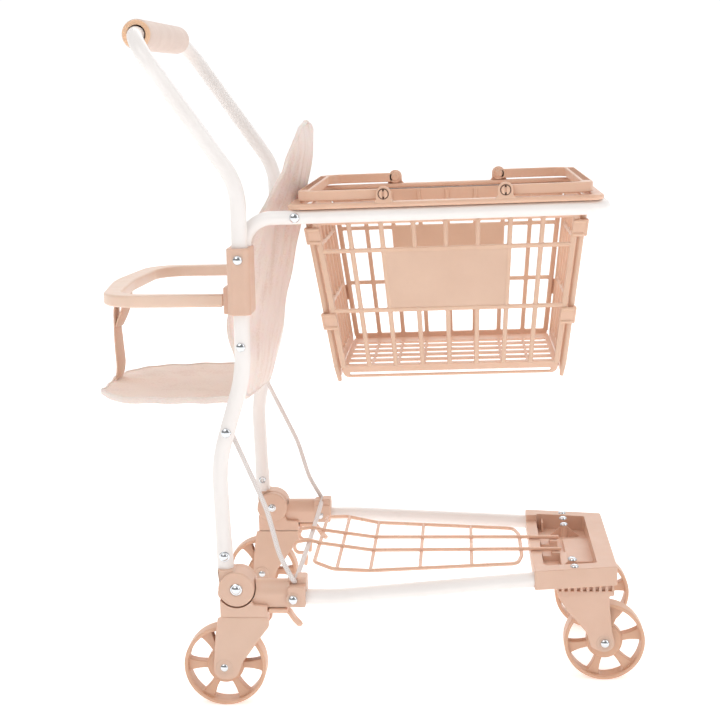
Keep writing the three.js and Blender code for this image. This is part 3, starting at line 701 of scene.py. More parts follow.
# ------------------------------------------------------------------ upper frame: tubes


def push_handle():
    def side(s):
        return [
            (LEG_X, s * REAR_Y, 352.2), (LEG_X, s * REAR_Y, 428.3, 55), (GRIP_X, s * REAR_Y, GRIP_Z, 34),
        ]

    path = centreline(side(-1) + side(1)[::-1], 3, 40)
    stand_in("push_handle", pipe(path, TUBE_R, 5.35), WHITE, "upper_frame", "white_tube")


def handle_grip():
    half, outer, inner = 84, 12.2, 7.6
    bead = []
    for k in range(7):
        a = math.pi / 2 * k / 6
        bead.append((outer - 2.4 * (1 - math.sin(a)), -half + 2.4 * (1 - math.cos(a))))
    steps = 40
    middle = [(outer, -half + 2.4 + (2 * half - 4.8) * k / steps) for k in range(1, steps)]
    profile_points = [(inner, -half), *bead, *middle, *[(r, -h) for r, h in reversed(bead)], (inner, half)]
    grip = lathe(profile_points, (GRIP_X, 0, GRIP_Z), count=48)
    stand_in("handle_grip", grip, FOAM, "upper_frame", "grip_foam")
    for name, s in SIDES:
        end = lathe(
            [(7.6, 0), (10.9, 0), (11.4, 0.25), (11.3, 0.8), (10.9, 1.1), (7.9, 1.1), (7.6, 0.8)],
            (GRIP_X, s * (half - 0.1), GRIP_Z),
            (0, s, 0),
            48,
        )
        piece(f"grip_end_{name}", end, GRIP_RING, "upper_frame", "grip_foam")


def leg(name, s):
    path = centreline(
        [
            (LEG_X, s * REAR_Y, 351.8), (22.6, s * REAR_Y, 277, 120), (0.4, s * REAR_Y, 206, 120),
            (2.5, s * REAR_Y, 116.3),
        ],
        2,
        6,
    )

    def radius_at(share):
        z_flare = max(0.0, min(1.0, (share - 0.905) / 0.02))
        return TUBE_R + 0.45 * z_flare

    tube = pipe(path, TUBE_R, 5.3, radius_at=radius_at)
    stand_in(f"leg_{name}", tube, WHITE, "upper_frame", "white_tube")


def basket_ring():
    def side(s):
        return [
            (25.4, s * RING_Y, 356), (25.4, s * RING_Y, ring_z(25.4), 22.5),
            (309.2, s * RING_Y, ring_z(309.2), 17),
        ]

    path = centreline(side(-1) + side(1)[::-1], 4, 40)
    stand_in("basket_ring", pipe(path, RING_R, 4.6), WHITE, "upper_frame", "white_tube")


def collar(name, s):
    """The moulded clamp that holds leg, handle and ring, with the bumper's socket at its rear."""
    outline = fillet([(13.6, 96.5, 2), (32.0, 96.5, 2), (32.0, 128.2, 5.5), (13.6, 128.2, 5.5)], 8)
    bore = [Vector((LEG_X + a, REAR_Y + b)) for a, b in circle(TUBE_R + 0.3, 36)]
    body = plate(outline, 326.4, 379.3, 1.1, lambda a, b, n: (a, s * b, n), [bore])
    boss = block((7.4, s * 93.8, 324.6), (18.5, s * 108, 346.4), 1.0, 3)
    neck = block((5.8, s * 96.2, 331), (9, s * 103.6, 339), 0.8)
    stand_in(f"collar_{name}", [body, boss], PEACH, "upper_frame", "peach_plastic")
    piece(f"bumper_neck_{name}", neck, PEACH, "upper_frame", "peach_plastic")
    screw = lathe(
        [(0, -0.5), (3, -0.5), (3, 0), (2.7, 0.9), (1.8, 1.5), (0.9, 1.75), (0, 1.8)],
        (13.8, s * 101, 357.2),
        (-1, 0, 0),
    )
    piece(f"collar_screw_{name}", screw, CHROME, "upper_frame", "chrome")


def bolts(name, s):
    heads = [
        ("collar_bolt", 23.1, 370.3, 96.5, 128.2, 3.9, 2.6),
        ("seat_bolt", 22.6, 300.7, 111.6, 124.4, 3.8, 2.3), ("cord_bolt", 8.2, 231, 111.6, 124.4, 4.0, 2.3),
        ("ring_bolt", 66.8, ring_z(66.8), 100.7, 111.7, 4.1, 2.5),
    ]
    for bolt, x, z, inner, outer, radius, height in heads:
        parts = [dome(x, z, s * outer, s, radius, height), dome(x, z, s * inner, -s, radius, height * 0.8)]
        stand_in(f"{bolt}_{name}", parts, CHROME, "upper_frame", "chrome")
    rivet_x, rivet_z = 2.9, 127.8
    washer = [(2.6, -1.2), (4.3, -1.2), (4.3, 0.2), (3.9, 0.5), (2.6, 0.5)]
    rivet = [
        lathe(washer, (rivet_x, s * 124.6, rivet_z), (0, s, 0)),
        dome(rivet_x, rivet_z, s * 125.0, s, 3.3, 2.1),
        lathe(
            [(1.5, -0.9), (1.5, 0.5), (1.9, 1.0), (2.5, 1.15), (3.1, 0.8), (3.4, 0.1), (3.4, -0.9)],
            (rivet_x, s * 111.3, rivet_z),
            (0, -s, 0),
        ),
    ]
    piece(f"knuckle_rivet_{name}", rivet, CHROME, "upper_frame", "chrome")


push_handle()
handle_grip()
basket_ring()
for side_name, side_sign in SIDES:
    leg(side_name, side_sign)
    collar(side_name, side_sign)
    bolts(side_name, side_sign)


# ------------------------------------------------------------------ bumper


def bumper_bar():
    outline = fillet(
        [
            (6.4, -104.6, 1), (6.4, -95.4, 1), (-82, -92, 26), (-88, 0, 150), (-82, 92, 26), (6.4, 95.4, 1),
            (6.4, 104.6, 1), (-94, 104.6, 34), (-106, 0, 180), (-94, -104.6, 34),
        ],
        10,
    )
    bar = plate(outline, 330, 340, 2.0, plan, rings=4)
    # The bar wears the paler copy of the peach plastic: painted light on its top.
    stand_in("bumper_bar", bar, PEACH_PAINTED_LIGHT, "upper_frame", "peach_plastic")


bumper_bar()

# ------------------------------------------------------------------ fold joint and rear corners


def knuckle(name, s):
    """The leg's foot: a round disc in the housing's cradle, with a short neck up to the leg."""
    x, z = PIVOT
    disc = lathe(
        [
            (0, 112), (14.0, 112), (14.8, 112.8), (14.8, 128.6), (14.5, 129.5), (13.8, 130.1), (5.6, 130.1),
            (5.2, 129.6), (0, 129.6),
        ],
        (x, 0, z),
        (0, s, 0),
        64,
    )
    neck_outline = [
        (-3.0, 117.2, 0.5), (9.2, 117.2, 0.5), (16, 112, 2), (12, 94, 1), (0.5, 98, 1), (-1.8, 104, 1),
    ]
    neck = plate(fillet(neck_outline, 4), 112.2, 127.6, 1.0, profile(s))
    heel = lathe(
        [(0, 112.4), (5.4, 112.4), (6.2, 113.2), (6.2, 127.2), (5.4, 128), (0, 128)], (HEEL[0], 0, HEEL[1]),
        (0, s, 0), 48,
    )
    stand_in(f"knuckle_{name}", [disc, neck, heel], PEACH, "upper_frame", "peach_plastic")


def rear_housing(name, s):
    """The rear corner of the base: cradle, fork root, tube socket and the ear that the elastic hangs on."""
    x, z = PIVOT

    body_outline = fillet(
        [
            (-1.5, 77.2, 0.5), (37.2, 77.2, 0.5), (37.2, 87.6, 1), (26.0, 88.4, 2), (22.0, 97, 1),
            (12, 105.0), (0.3, 98), (-1.5, 92.0, 1),
        ],
        4,
    )
    body = plate(body_outline, 106.6, 130.0, 1.0, profile(s))
    cheek = lathe(
        [(0, 105.3), (13.6, 105.3), (14.4, 106.1), (14.4, 111.2), (0, 111.2)], (x, 0, z), (0, s, 0), 64,
    )
    cradle = lathe([(0, CRADLE_Y), (15.75, CRADLE_Y), (15.75, CUT_Y), (0, CUT_Y)], (x, 0, z), (0, s, 0), 64)
    heel_room = lathe(
        [(0, CRADLE_Y), (7.0, CRADLE_Y), (7.0, CUT_Y), (0, CUT_Y)], (HEEL[0], 0, HEEL[1]), (0, s, 0), 48,
    )
    neck_room = block((-9, s * CRADLE_Y, 98), (x, s * CUT_Y, 126), 0)
    shell = carve(body, [cradle, heel_room, neck_room])

    def rounded(i, share):
        arc = [math.pi * k / 24 for k in range(25)]
        return [(11.3 * math.sin(a), 9.4 * math.cos(a)) for a in arc] + [
            (-10.6, -7.4), (-11.4, 0), (-10.6, 7.4),
        ]

    arm = sweep([Vector((21, s * REAR_Y, 95.6)), Vector((55.4, s * REAR_Y, 95.6))], rounded, up=(0, 0, 1))
    arm = carve(arm, [cradle])
    flange_outline = fillet([(54.4, 86.2, 1), (68.4, 86.2, 1), (68.4, 103.7, 2), (54.4, 103.7, 2)], 4)
    tube_room = rod((50, s * REAR_Y, 91.5), (75, s * REAR_Y, 91.5), TUBE_R + 0.4, 36)
    flange = carve(plate(flange_outline, 107, 129.4, 1.2, profile(s)), [tube_room])
    ear_outline = fillet(
        [
            (53.0, 90, 0), (68.9, 90, 0), (68.9, 109.2, 1.5), (60.9, 109.2, 0.8), (60.9, 108.0, 0.3),
            (62.5, 106.8, 2.2), (60.2, 103.9, 2.2), (57.9, 106.3, 2.2), (58.6, 108.0, 0.5),
            (53.0, 108.0, 1.6),
        ],
        4,
    )
    ear = plate(ear_outline, 108, 121.5, 0.7, profile(s))
    recess = lathe(
        [(2.4, 0), (5.4, 0), (5.8, 0.3), (5.6, 0.55), (2.4, 0.55)], (FLANGE_BOLT[0], s * 129.3, FLANGE_BOLT[1]),
        (0, s, 0),
    )
    parts = [shell, cheek, arm, flange, ear, recess]
    stand_in(f"rear_housing_{name}", parts, PEACH, "base", "peach_plastic")
    pivot = [
        dome(x, z, s * 129.7, s, 4.0, 2.7),
        lathe([(3.6, -0.6), (4.9, -0.6), (4.9, 0.5), (4.4, 0.9), (3.6, 0.9)], (x, s * 129.7, z), (0, s, 0)),
        dome(x, z, s * 105.2, -s, 2.9, 1.7),
        lathe([(2.6, -0.6), (3.7, -0.6), (3.7, 0.4), (3.3, 0.7), (2.6, 0.7)], (x, s * 105.3, z), (0, -s, 0)),
    ]
    stand_in(f"pivot_bolt_{name}", pivot, CHROME, "base", "chrome")
    flange_bolt = [dome(*FLANGE_BOLT, s * 129.8, s, 3.9, 2.6), dome(*FLANGE_BOLT, s * 107, -s, 3.4, 1.8)]
    stand_in(f"housing_bolt_{name}", flange_bolt, CHROME, "base", "chrome")


def wheel_room(axle_x, y, half=8.4, radius=35.6):
    return rod((axle_x, y - half, WHEEL_R), (axle_x, y + half, WHEEL_R), radius, 72)


def axle_boss(axle_x, outward, at):
    """The flat ring round an axle's countersink."""
    return lathe(
        [(4.6, -0.6), (7.4, -0.6), (7.4, 0.1), (7.0, 0.5), (5.2, 0.5), (4.7, 0.2)],
        (axle_x, at, WHEEL_R),
        (0, outward, 0),
        40,
    )


def rear_fork(name, s):
    y = s * REAR_Y
    outline = fillet(
        [
            (-2.3, 76.0, 0.5), (36.8, 76.0, 0.5), (36.4, 70.4, 4), (28.7, 60.4, 8), (14.1, 39.8, 10),
            (8.6, 25.6, 8.2), (-7.8, 25.6, 7.2), (-6.8, 38, 6), (-4.8, 60.2, 12),
        ],
        8,
    )
    fork = carve(plate(outline, abs(y) - 11, abs(y) + 11, 0.9, profile(s)), [wheel_room(0, y)])
    raised = inset(outline, 1.7)
    faces = [
        plate(raised, abs(y) + 10.6, abs(y) + 11.7, 0.55, profile(s)),
        plate(raised, abs(y) - 11.5, abs(y) - 10.6, 0.45, profile(s)),
    ]
    bosses = [axle_boss(0, 1, y + 11.4), axle_boss(0, -1, y - 11.4)]
    stand_in(f"rear_fork_{name}", [fork, *faces, *bosses], PEACH, "base", "peach_plastic")
    bolt = [dome(0, WHEEL_R, y + 11.3, 1, 3.4, 1.9), dome(0, WHEEL_R, y - 11.3, -1, 3.4, 1.9)]
    bolt.append(rod((0, y - 11, WHEEL_R), (0, y + 11, WHEEL_R), 2.2))
    stand_in(f"rear_axle_{name}", bolt, CHROME, "base", "chrome")


def base_tube(name, s):
    path = centreline(
        [
            (42, s * REAR_Y, 91.5), (95, s * REAR_Y, 91.8, 60), (256, s * 82.5, 94.3, 50),
            (262, s * 81.2, 94.4),
        ],
        3,
        30,
    )
    stand_in(f"base_tube_{name}", pipe(path, TUBE_R, 5.3), WHITE, "base", "white_tube")


def release_lever(name, s):
    """A sprung lever under the arm: a short box at the root and a tongue that curves down for the foot."""
    spine = [
        (37.6, 81.2), (46, 81.2), (51.4, 81.0), (54.2, 78.9), (56.2, 75.6), (58.7, 72.0), (61.4, 69.1),
        (64.0, 67.2),
    ]
    points = [Vector((x, s * REAR_Y, z)) for x, z in spine]
    smooth = []
    for a, b in zip(points, points[1:]):
        smooth += [a.lerp(b, t) for t in (0, 0.5)]
    smooth.append(points[-1])

    def section(i, share):
        half = 4.6 * min(1.0, math.sqrt(max(0.02, (1 - share) / 0.12)))
        return [
            (1.3, -half * 0.9), (1.3, half * 0.9), (0.6, half), (-0.6, half), (-1.3, half * 0.9),
            (-1.3, -half * 0.9), (-0.6, -half), (0.6, -half),
        ]

    root = block((37.8, s * (REAR_Y - 7.4), 80.6), (53.4, s * (REAR_Y + 9.6), 84.2), 1.0, 3)
    lever = [sweep(smooth, section, up=(0, 0, 1)), root]
    stand_in(f"release_lever_{name}", lever, PEACH_SMOOTH, f"lever_{name}", "peach_plastic")


for side_name, side_sign in SIDES:
    knuckle(side_name, side_sign)
    rear_housing(side_name, side_sign)
    rear_fork(side_name, side_sign)
    base_tube(side_name, side_sign)
    release_lever(side_name, side_sign)


# ------------------------------------------------------------------ wheels


def spoke_window(centre):
    """One opening between two flared spokes, as a closed outline round the wheel's axis."""

    def spoke_half(r):
        return 2.9 + 0.0125 * max(0.0, r - 16.5) ** 2

    inner, outer = 15.4, 30.6
    radii = [inner + (outer - inner) * k / 7 for k in range(8)]
    edges = [math.pi / 6 - math.asin(spoke_half(r) / r) for r in radii]
    outer_arc = [edges[-1] * (1 - 2 * k / 8) for k in range(9)]
    inner_arc = [edges[0] * (-1 + 2 * k / 4) for k in range(5)]
    points = list(zip(radii, edges))
    loop = points[1:-1]
    loop.append((outer - 0.9, edges[-1] + 0.005))
    loop.append((outer, edges[-1] - 0.035))
    loop += [(outer, a) for a in outer_arc[1:-1]]
    loop.append((outer, -edges[-1] + 0.035))
    loop.append((outer - 0.9, -edges[-1] - 0.005))
    for r, a in reversed(points[1:-1]):
        loop.append((r, -a))
    loop += [(inner, a) for a in inner_arc]
    return [Vector((r * math.cos(centre + a), r * math.sin(centre + a))) for r, a in loop]


def wheel(name, x, y, turn, body):
    def place(a, b, n):
        return (
            x + a * math.cos(turn) - b * math.sin(turn), y + n,
            WHEEL_R + a * math.sin(turn) + b * math.cos(turn),
        )

    rim_outline = [Vector(p) for p in circle(32.8, 96)]
    web = plate(
        rim_outline, -4.2, 4.2, 0.9, place, [spoke_window(math.pi / 6 + k * math.pi / 3) for k in range(6)]
    )
    half = 7.7
    tread = lathe(
        [
            (30.9, -half + 0.6), (31.5, -half), (33.0, -half), (33.7, -half + 0.35), (34.0, -half + 1.1),
            (34.0, -0.25), (34.0, 0.25), (34.0, half - 1.1), (33.7, half - 0.35), (33.0, half),
            (31.5, half), (30.9, half - 0.6), (30.7, 0),
        ],
        (x, y, WHEEL_R),
        count=112,
    )
    hub = lathe(
        [
            (2.6, -6.8), (13.4, -6.8), (14.5, -5.8), (14.7, -4), (14.7, 4), (14.5, 5.8), (13.4, 6.8),
            (2.6, 6.8),
        ],
        (x, y, WHEEL_R),
        count=72,
    )
    piece(name, [web, tread, hub], WHEEL_PLASTIC, body, "peach_plastic", [name])


# ------------------------------------------------------------------ casters and platform


def front_fork(name, s):
    """A caster's fork: flared towards its crown, which has ten teeth along each top edge."""
    y = FRONT_Y
    outline = fillet(
        [
            (275.2, 81.4, 0.3), (323.0, 81.4, 0.3), (323.0, 77.0, 1.5), (319.0, 76.4, 0.8), (320.0, 62, 8),
            (321.6, 45, 10), (325.4, 30.0, 8), (314.8, 25.2, 8), (304.4, 29.8, 7), (300.0, 43.6, 10),
            (284.0, 63.2, 20), (276.2, 75.4, 3.5),
        ],
        8,
    )

    def flared(a, b, n):
        spread = 1 + 0.26 * max(0.0, min(1.0, (b - 42) / 36))
        return (a, s * (y + n * spread), b)

    fork = carve(plate(outline, -11, 11, 0.9, flared), [wheel_room(FRONT_AXLE_X, s * y)])
    core = carve(
        block((275.4, s * y - 11.2, 78), (322.8, s * y + 11.2, 86.4), 0.4), [wheel_room(FRONT_AXLE_X, s * y)],
    )
    teeth = []
    for k in range(10):
        x = max(276.0, min(322.4, 274.9 + k * 5.21))
        half = 0.65 if k in (0, 9) else 1.25
        for edge in (y - 13.8, y + 10.6):
            teeth.append(block((x - half, s * edge, 80.6), (x + half, s * (edge + 3.2), 86.4), 0.25))
    bosses = [axle_boss(FRONT_AXLE_X, side, s * y + side * 10.8) for side in (1, -1)]
    stand_in(f"front_fork_{name}", [fork, core, *teeth, *bosses], PEACH, f"caster_{name}", "peach_plastic")
    bolt = [dome(FRONT_AXLE_X, WHEEL_R, s * y + d * 11.2, d, 3.9, 2.5) for d in (1, -1)]
    bolt.append(rod((FRONT_AXLE_X, s * y - 11, WHEEL_R), (FRONT_AXLE_X, s * y + 11, WHEEL_R), 2.2))
    stand_in(f"front_axle_{name}", bolt, CHROME, f"caster_{name}", "chrome")


def tray_half(x, in_by):
    return 90.5 + (x - 256) / 69 * (78 - 90.5) - in_by


def tray_plan(rear, front, in_by, radius):
    return fillet(
        [
            (rear, -tray_half(rear, in_by), radius), (front, -tray_half(front, in_by), radius),
            (front, tray_half(front, in_by), radius), (rear, tray_half(rear, in_by), radius),
        ],
        6,
    )


def front_platform():
    """The tray between the casters: an open pocket with ribs, wire rests, swivel posts and screws."""
    shell = plate(tray_plan(255.7, 325, 0, 1.6), 87.4, 104.0, 0.9, plan, rings=4)
    pocket = plate(tray_plan(265, 309, 13.4, 3), 90.2, 120, 0, plan)
    step = block((250, -71.5, 98), (267, 71.5, 120), 0)
    sockets = [rod((236, s * 86.91, 93.95), (262.5, s * 81.1, 94.42), TUBE_R + 0.12, 40) for s in (1, -1)]
    parts = [carve(shell, [pocket, step, *sockets])]
    pad = fillet(rectangle(286.6, -33, 310, 33, 2), 5)
    parts.append(plate(pad, 89.6, 93.4, 0.8, plan))
    for s in (1, -1):
        post_y = s * 49.8
        post = [(0, 0), (3.9, 0), (3.5, 1.2), (3.4, 10.9), (3.0, 11.3), (0, 11.3)]
        parts.append(lathe(post, (289.2, post_y, 90), (0, 0, 1), 32))
        gusset = fillet([(275.4, 90, 0), (304, 90, 0), (291.4, 100.2, 0.6), (287, 100.2, 0.6)], 3)
        parts.append(plate(gusset, post_y - 0.55, post_y + 0.55, 0.25, profile()))
        parts.append(block((266, s * 11, 89.6), (274.5, s * 22, 94.8), 0.7))
        parts.append(block((273.9, s * 11, 89.6), (281, s * 22, 98.0), 0.7))
        parts.append(block((269.6, s * 62, 89.6), (271.0, s * 75, 99.6), 0.3))
    parts.append(block((280.6, -73, 89.6), (286.8, -16, 96.6), 0.6))
    stand_in("front_platform", parts, PEACH, "base", "peach_plastic")
    head = [(0, -0.4), (3.5, -0.4), (3.6, 0.2), (3.0, 1.3), (1.8, 2.0), (0, 2.2)]
    for name, s in SIDES:
        places = ((289.3, 49.8, 101.3), (289.2, 60.0, 104.0), (289.4, 77.8, 104.0))
        screws = [lathe(head, (x, s * y, z), (0, 0, 1)) for x, y, z in places]
        piece(f"platform_screws_{name}", screws, CHROME, "base", "chrome")


def rack():
    def loop_half(s):
        return [
            (70, 0, 104), (70, s * 66, 104, 7), (87, s * 77, 101.4, 9), (117, s * 69.5, 97.4, 40),
            (243, s * 50.5, 97.4, 9), (247.5, s * 30, 97.6, 30), (247.5, 0, 97.6),
        ]

    parts = []
    for s in (1, -1):
        parts.append(wire(centreline(loop_half(s), 6, 20), 1.6))
        y = s * 19
        runner = [
            (282, s * 17, 99.8), (250, s * 17.4, 99.8, 60), (117, y, 99.2, 60), (72, y, 105.6, 30),
            (60.4, y, 108.6, 14), (47.6, y, 106.6, 4.6), (48.4, y, 96.4, 4.6), (58.8, y, 97.6, 4),
            (57.4, y, 86),
        ]
        parts.append(wire(centreline(runner, 8, 20), 1.6))
    for x, z, half in ((90, 101.2, 76.5), (118, 97.6, 69.5), (160, 97.4, 63.2), (204, 97.4, 56.6)):
        parts.append(wire([Vector((x, -half, z)), Vector((x, 0, z)), Vector((x, half, z))], 1.5))
    stand_in("rack", parts, WIRE, "base", "coated_wire", weighted=False)


front_platform()
rack()
for side_name, side_sign in SIDES:
    front_fork(side_name, side_sign)
    wheel(f"rear_wheel_{side_name}", 0, side_sign * REAR_Y, 0.0, f"rear_wheel_{side_name}")
    wheel(f"front_wheel_{side_name}", FRONT_AXLE_X, side_sign * FRONT_Y, 0.2, f"front_wheel_{side_name}")

# ------------------------------------------------------------------ basket

WALL_TOP, WALL_BASE = 68.85, -70.1
END_INSET = 4.0
BAR_HALF = 1.85
WINDOW_ROWS = ((35.7, 55.5), (-13.8, 32.5), (-61.7, -17.0))


def end_x(z):
    return 103 + 0.134 * z


def wall_y(z):
    return 100.2 - 0.152 * (WALL_TOP - z)


def side_place(s):
    return lambda a, b, n: BASKET @ Vector((a, s * (wall_y(b) + n), b))


def end_place(end):
    return lambda a, b, n: BASKET @ Vector((end * (end_x(b) + n), a, b))


def column_x(k, z):
    stile = end_x(z) - 10.0
    return math.copysign(stile, k) if abs(k) > 3.5 else k * (23.87 + 0.0322 * z)


def side_window(k1, k2, base, top, radius=1.0):
    """The opening between verticals k1 and k2 of a side wall."""
    half = BAR_HALF

    def edge(k, z, towards):
        at_stile = abs(k) > 3.5
        return column_x(k, z) + (0 if at_stile else towards * half)

    return fillet(
        [
            (edge(k1, base, 1), base, radius), (edge(k2, base, -1), base, radius),
            (edge(k2, top, -1), top, radius), (edge(k1, top, 1), top, radius),
        ],
        3,
    )


def bar_along(place, x1, x2, z, half=BAR_HALF, n1=-2.6, n2=0.7):
    """A round-ended bar across a panel, standing slightly proud of it."""
    reach = half * 0.98
    corners = rectangle(x1, z - half, x2, z + half, reach)
    return plate(fillet(corners, 5), n1, n2, min(0.9, half * 0.5), place)


def basket_side(name, s):
    """One long wall: three rows of windows round a plain label panel, with clips at its ends."""
    place = side_place(s)
    foot = -72.0
    top, base = end_x(WALL_TOP) - 5.7, end_x(foot) - 6.4
    outline = fillet([(-base, foot, 5.5), (base, foot, 5.5), (top, WALL_TOP, 1), (-top, WALL_TOP, 1)], 6)
    holes = [fillet(rectangle(-82, -69.9, 82, -67.6, 1), 3)]
    for low, high in WINDOW_ROWS:
        for k in range(-4, 4):
            if low == WINDOW_ROWS[1][0] and -2 <= k < 2:
                continue
            holes.append(side_window(k, k + 1, low, high))
    parts = [plate(outline, -3.2, 0, 0.75, place, holes)]
    for z in (34.1, -15.4):
        reach = end_x(z) - 8.8
        parts.append(bar_along(place, -reach, reach, z, 1.7))

    def upright(k, z1, z2, half, radius, steps, *levels):
        x1, x2 = column_x(k, z1), column_x(k, z2)
        corners = [(x1 - half, z1), (x1 + half, z1), (x2 + half, z2), (x2 - half, z2)]
        parts.append(plate(fillet([(x, z, radius) for x, z in corners], steps), *levels, place))

    for k in range(-3, 4):
        spans = [(-63, -13), (33, 57)] if -2 < k < 2 else [(-63, 57)]
        for z1, z2 in spans:
            upright(k, z1, z2, 1.7, 0.8, 3, -2.4, 0.45, 0.8)
        upright(k, 55, 67.5, 1.6, 0.4, 2, -4.6, -2.8, 0.5)

    def panel(margin, low, high):
        return fillet(
            [
                (column_x(-2, low) + margin, low, 1), (column_x(2, low) - margin, low, 1),
                (column_x(2, high) - margin, high, 1), (column_x(-2, high) + margin, high, 1),
            ],
            3,
        )

    parts.append(plate(panel(1, -15, 34), -2.8, 0.15, 0.4, place))
    for end in (1, -1):

        def beside_end(x1, z1, x2, z2, r1, r2, steps, *levels):
            corners = [(x1, z1, r1), (x2, z1, r2), (x2, z2, r2), (x1, z2, r1)]
            shape = fillet([(end * (end_x(z) + x), z, radius) for x, z, radius in corners], steps)
            parts.append(plate(shape, *levels, place))

        beside_end(-10, -64, -5.6, 67, 0.8, 0.8, 3, -2.6, 0.4, 0.8)
        for z1, z2 in ((40.2, 53.8), (-30.8, -17.2)):
            beside_end(-9.8, z1, 0.4, z2, 2.2, 1.6, 5, -1.4, 1.5, 0.7)
            for z in (z1 + 1.5, z2 - 1.5):
                beside_end(-9.6, z - 1.5, 0.6, z + 1.5, 1.4, 1.4, 5, 0, 2.5, 1.2)
            beside_end(-0.6, z1, 2.4, z2, 1, 1, 4, -7.6, 0.6, 0.8)
    stand_in(f"basket_side_{name}", parts, PEACH_SMOOTH, "basket", "peach_plastic")


def basket_end(name, end):
    place = end_place(end)
    foot = WALL_BASE - 2.0
    top, base = wall_y(WALL_TOP) - END_INSET, wall_y(foot) - END_INSET
    outline = fillet([(-base, foot, 3), (base, foot, 3), (top, WALL_TOP, 1), (-top, WALL_TOP, 1)], 5)
    holes = []
    for low, high in ((35.7, 55.5), (-13.8, 32.5), (-60, -17.0)):
        for k in range(-3, 3):

            def edge(j, z, towards):
                inner = wall_y(z) - END_INSET - 5
                return j * inner / 3 + towards * BAR_HALF

            holes.append(
                fillet(
                    [
                        (edge(k, low, 1), low, 1.2), (edge(k + 1, low, -1), low, 1.2),
                        (edge(k + 1, high, -1), high, 1.2), (edge(k, high, 1), high, 1.2),
                    ],
                    3,
                )
            )
    parts = [plate(outline, -3.8, 0, 0.9, place, holes)]
    for z in (34.1, -15.4):
        reach = wall_y(z) - END_INSET - 3
        parts.append(bar_along(place, -reach, reach, z, 1.7, -3.2, 0.6))
    for s in (1, -1):
        bead = []
        for k in range(13):
            z = 68 + (foot - 3.6 - 68) * k / 12
            bead.append(BASKET @ Vector((end * (end_x(z) - 1.9), s * (wall_y(z) - END_INSET - 2.2), z)))
        radii = [2.7] * 12 + [1.6]
        parts.append(sweep(bead, lambda i, share, r=radii: circle(r[i], 16)))
    stand_in(f"basket_end_{name}", parts, PEACH_SMOOTH, "basket", "peach_plastic")


def basket_floor():
    half_x = end_x(-69.5) - 4.8
    half_y = wall_y(-69.5) - 4.2
    outline = fillet(rectangle(-half_x, -half_y, half_x, half_y, 3), 4)
    holes = []
    for row in range(-2, 3):
        for column in range(8):
            x, y = (column - 3.5) * 21.5, row * 22
            holes.append(fillet(rectangle(x - 9.7, y - 7, x + 9.7, y + 7, 2), 3))
    floor_plate = plate(outline, -67.4, -65.7, 0.4, lambda a, b, n: BASKET @ Vector((a, b, n)), holes)
    stand_in("basket_floor", floor_plate, PEACH_SMOOTH, "basket", "peach_plastic")


def rounded_plan(x, y, radius, steps=8):
    return fillet(rectangle(-x, -y, x, y, radius), steps)


def basket_rim():
    def place(a, b, n):
        return BASKET @ Vector((a, b, n))

    parts = [plate(rounded_plan(124.2, 112, 12), 69.3, 73.6, 1.7, place, [rounded_plan(113.2, 100.4, 6)], 4)]
    for end in (1, -1):
        for s in (1, -1):
            x = end * BAIL_PIVOT_X
            lug = [
                (x - 8.4, 72.6, 0), (x + 8.4, 72.6, 0), (x + 6.0, 75.6, 2), (x + 5.9, 85.65, 5.8),
                (x - 5.9, 85.65, 5.8), (x - 6.0, 75.6, 2),
            ]
            parts.append(
                plate(fillet(lug, 8), 106.95, 111.6, 0.8, lambda a, b, n, s=s: BASKET @ Vector((a, s * n, b)))
            )
    stand_in("basket_rim", parts, PEACH_SMOOTH, "basket", "peach_plastic")


def bail_screw(name, end, side_name, s):
    """A slotted plastic screw through lug and bail, set in a near-black ring of painted shadow that stands for
    its countersink.
    """
    centre = Vector((end * BAIL_PIVOT_X, 0, 79.75))

    def turned(points, y, outward, count=40):
        return moved(lathe(points, (centre.x, s * y, centre.z), (0, outward, 0), count), BASKET)

    head = lathe(
        [(0, -0.6), (3.55, -0.6), (3.55, 0.9), (3.3, 1.4), (2.4, 1.65), (0, 1.7)],
        (centre.x, s * 111.6, centre.z), (0, s, 0), 40,
    )
    slot = block((centre.x - 0.8, s * 111.5, centre.z - 4.4), (centre.x + 0.8, s * 114.2, centre.z + 4.4), 0)
    head = moved(carve(head, [slot]), BASKET)
    stem = moved(rod((centre.x, s * 101, centre.z), (centre.x, s * 112, centre.z), 2.1), BASKET)
    tail = turned([(0, -0.4), (3.6, -0.4), (3.6, 0.6), (2.8, 1.3), (0, 1.5)], 101.3, -s, 32)
    name = f"{name}_{side_name}"
    stand_in(f"bail_screw_{name}", [head, stem, tail], PEACH_SMOOTH, "basket", "peach_plastic")
    # Painted shadow: a thin dark disc round the head, in place of the shade in the countersink.
    ring = turned([(0, -0.3), (4.35, -0.3), (4.35, 0.14), (0, 0.14)], 111.6, s)
    piece(f"bail_screw_shadow_ring_{name}", ring, PAINTED_SHADOW, "basket", "peach_plastic")


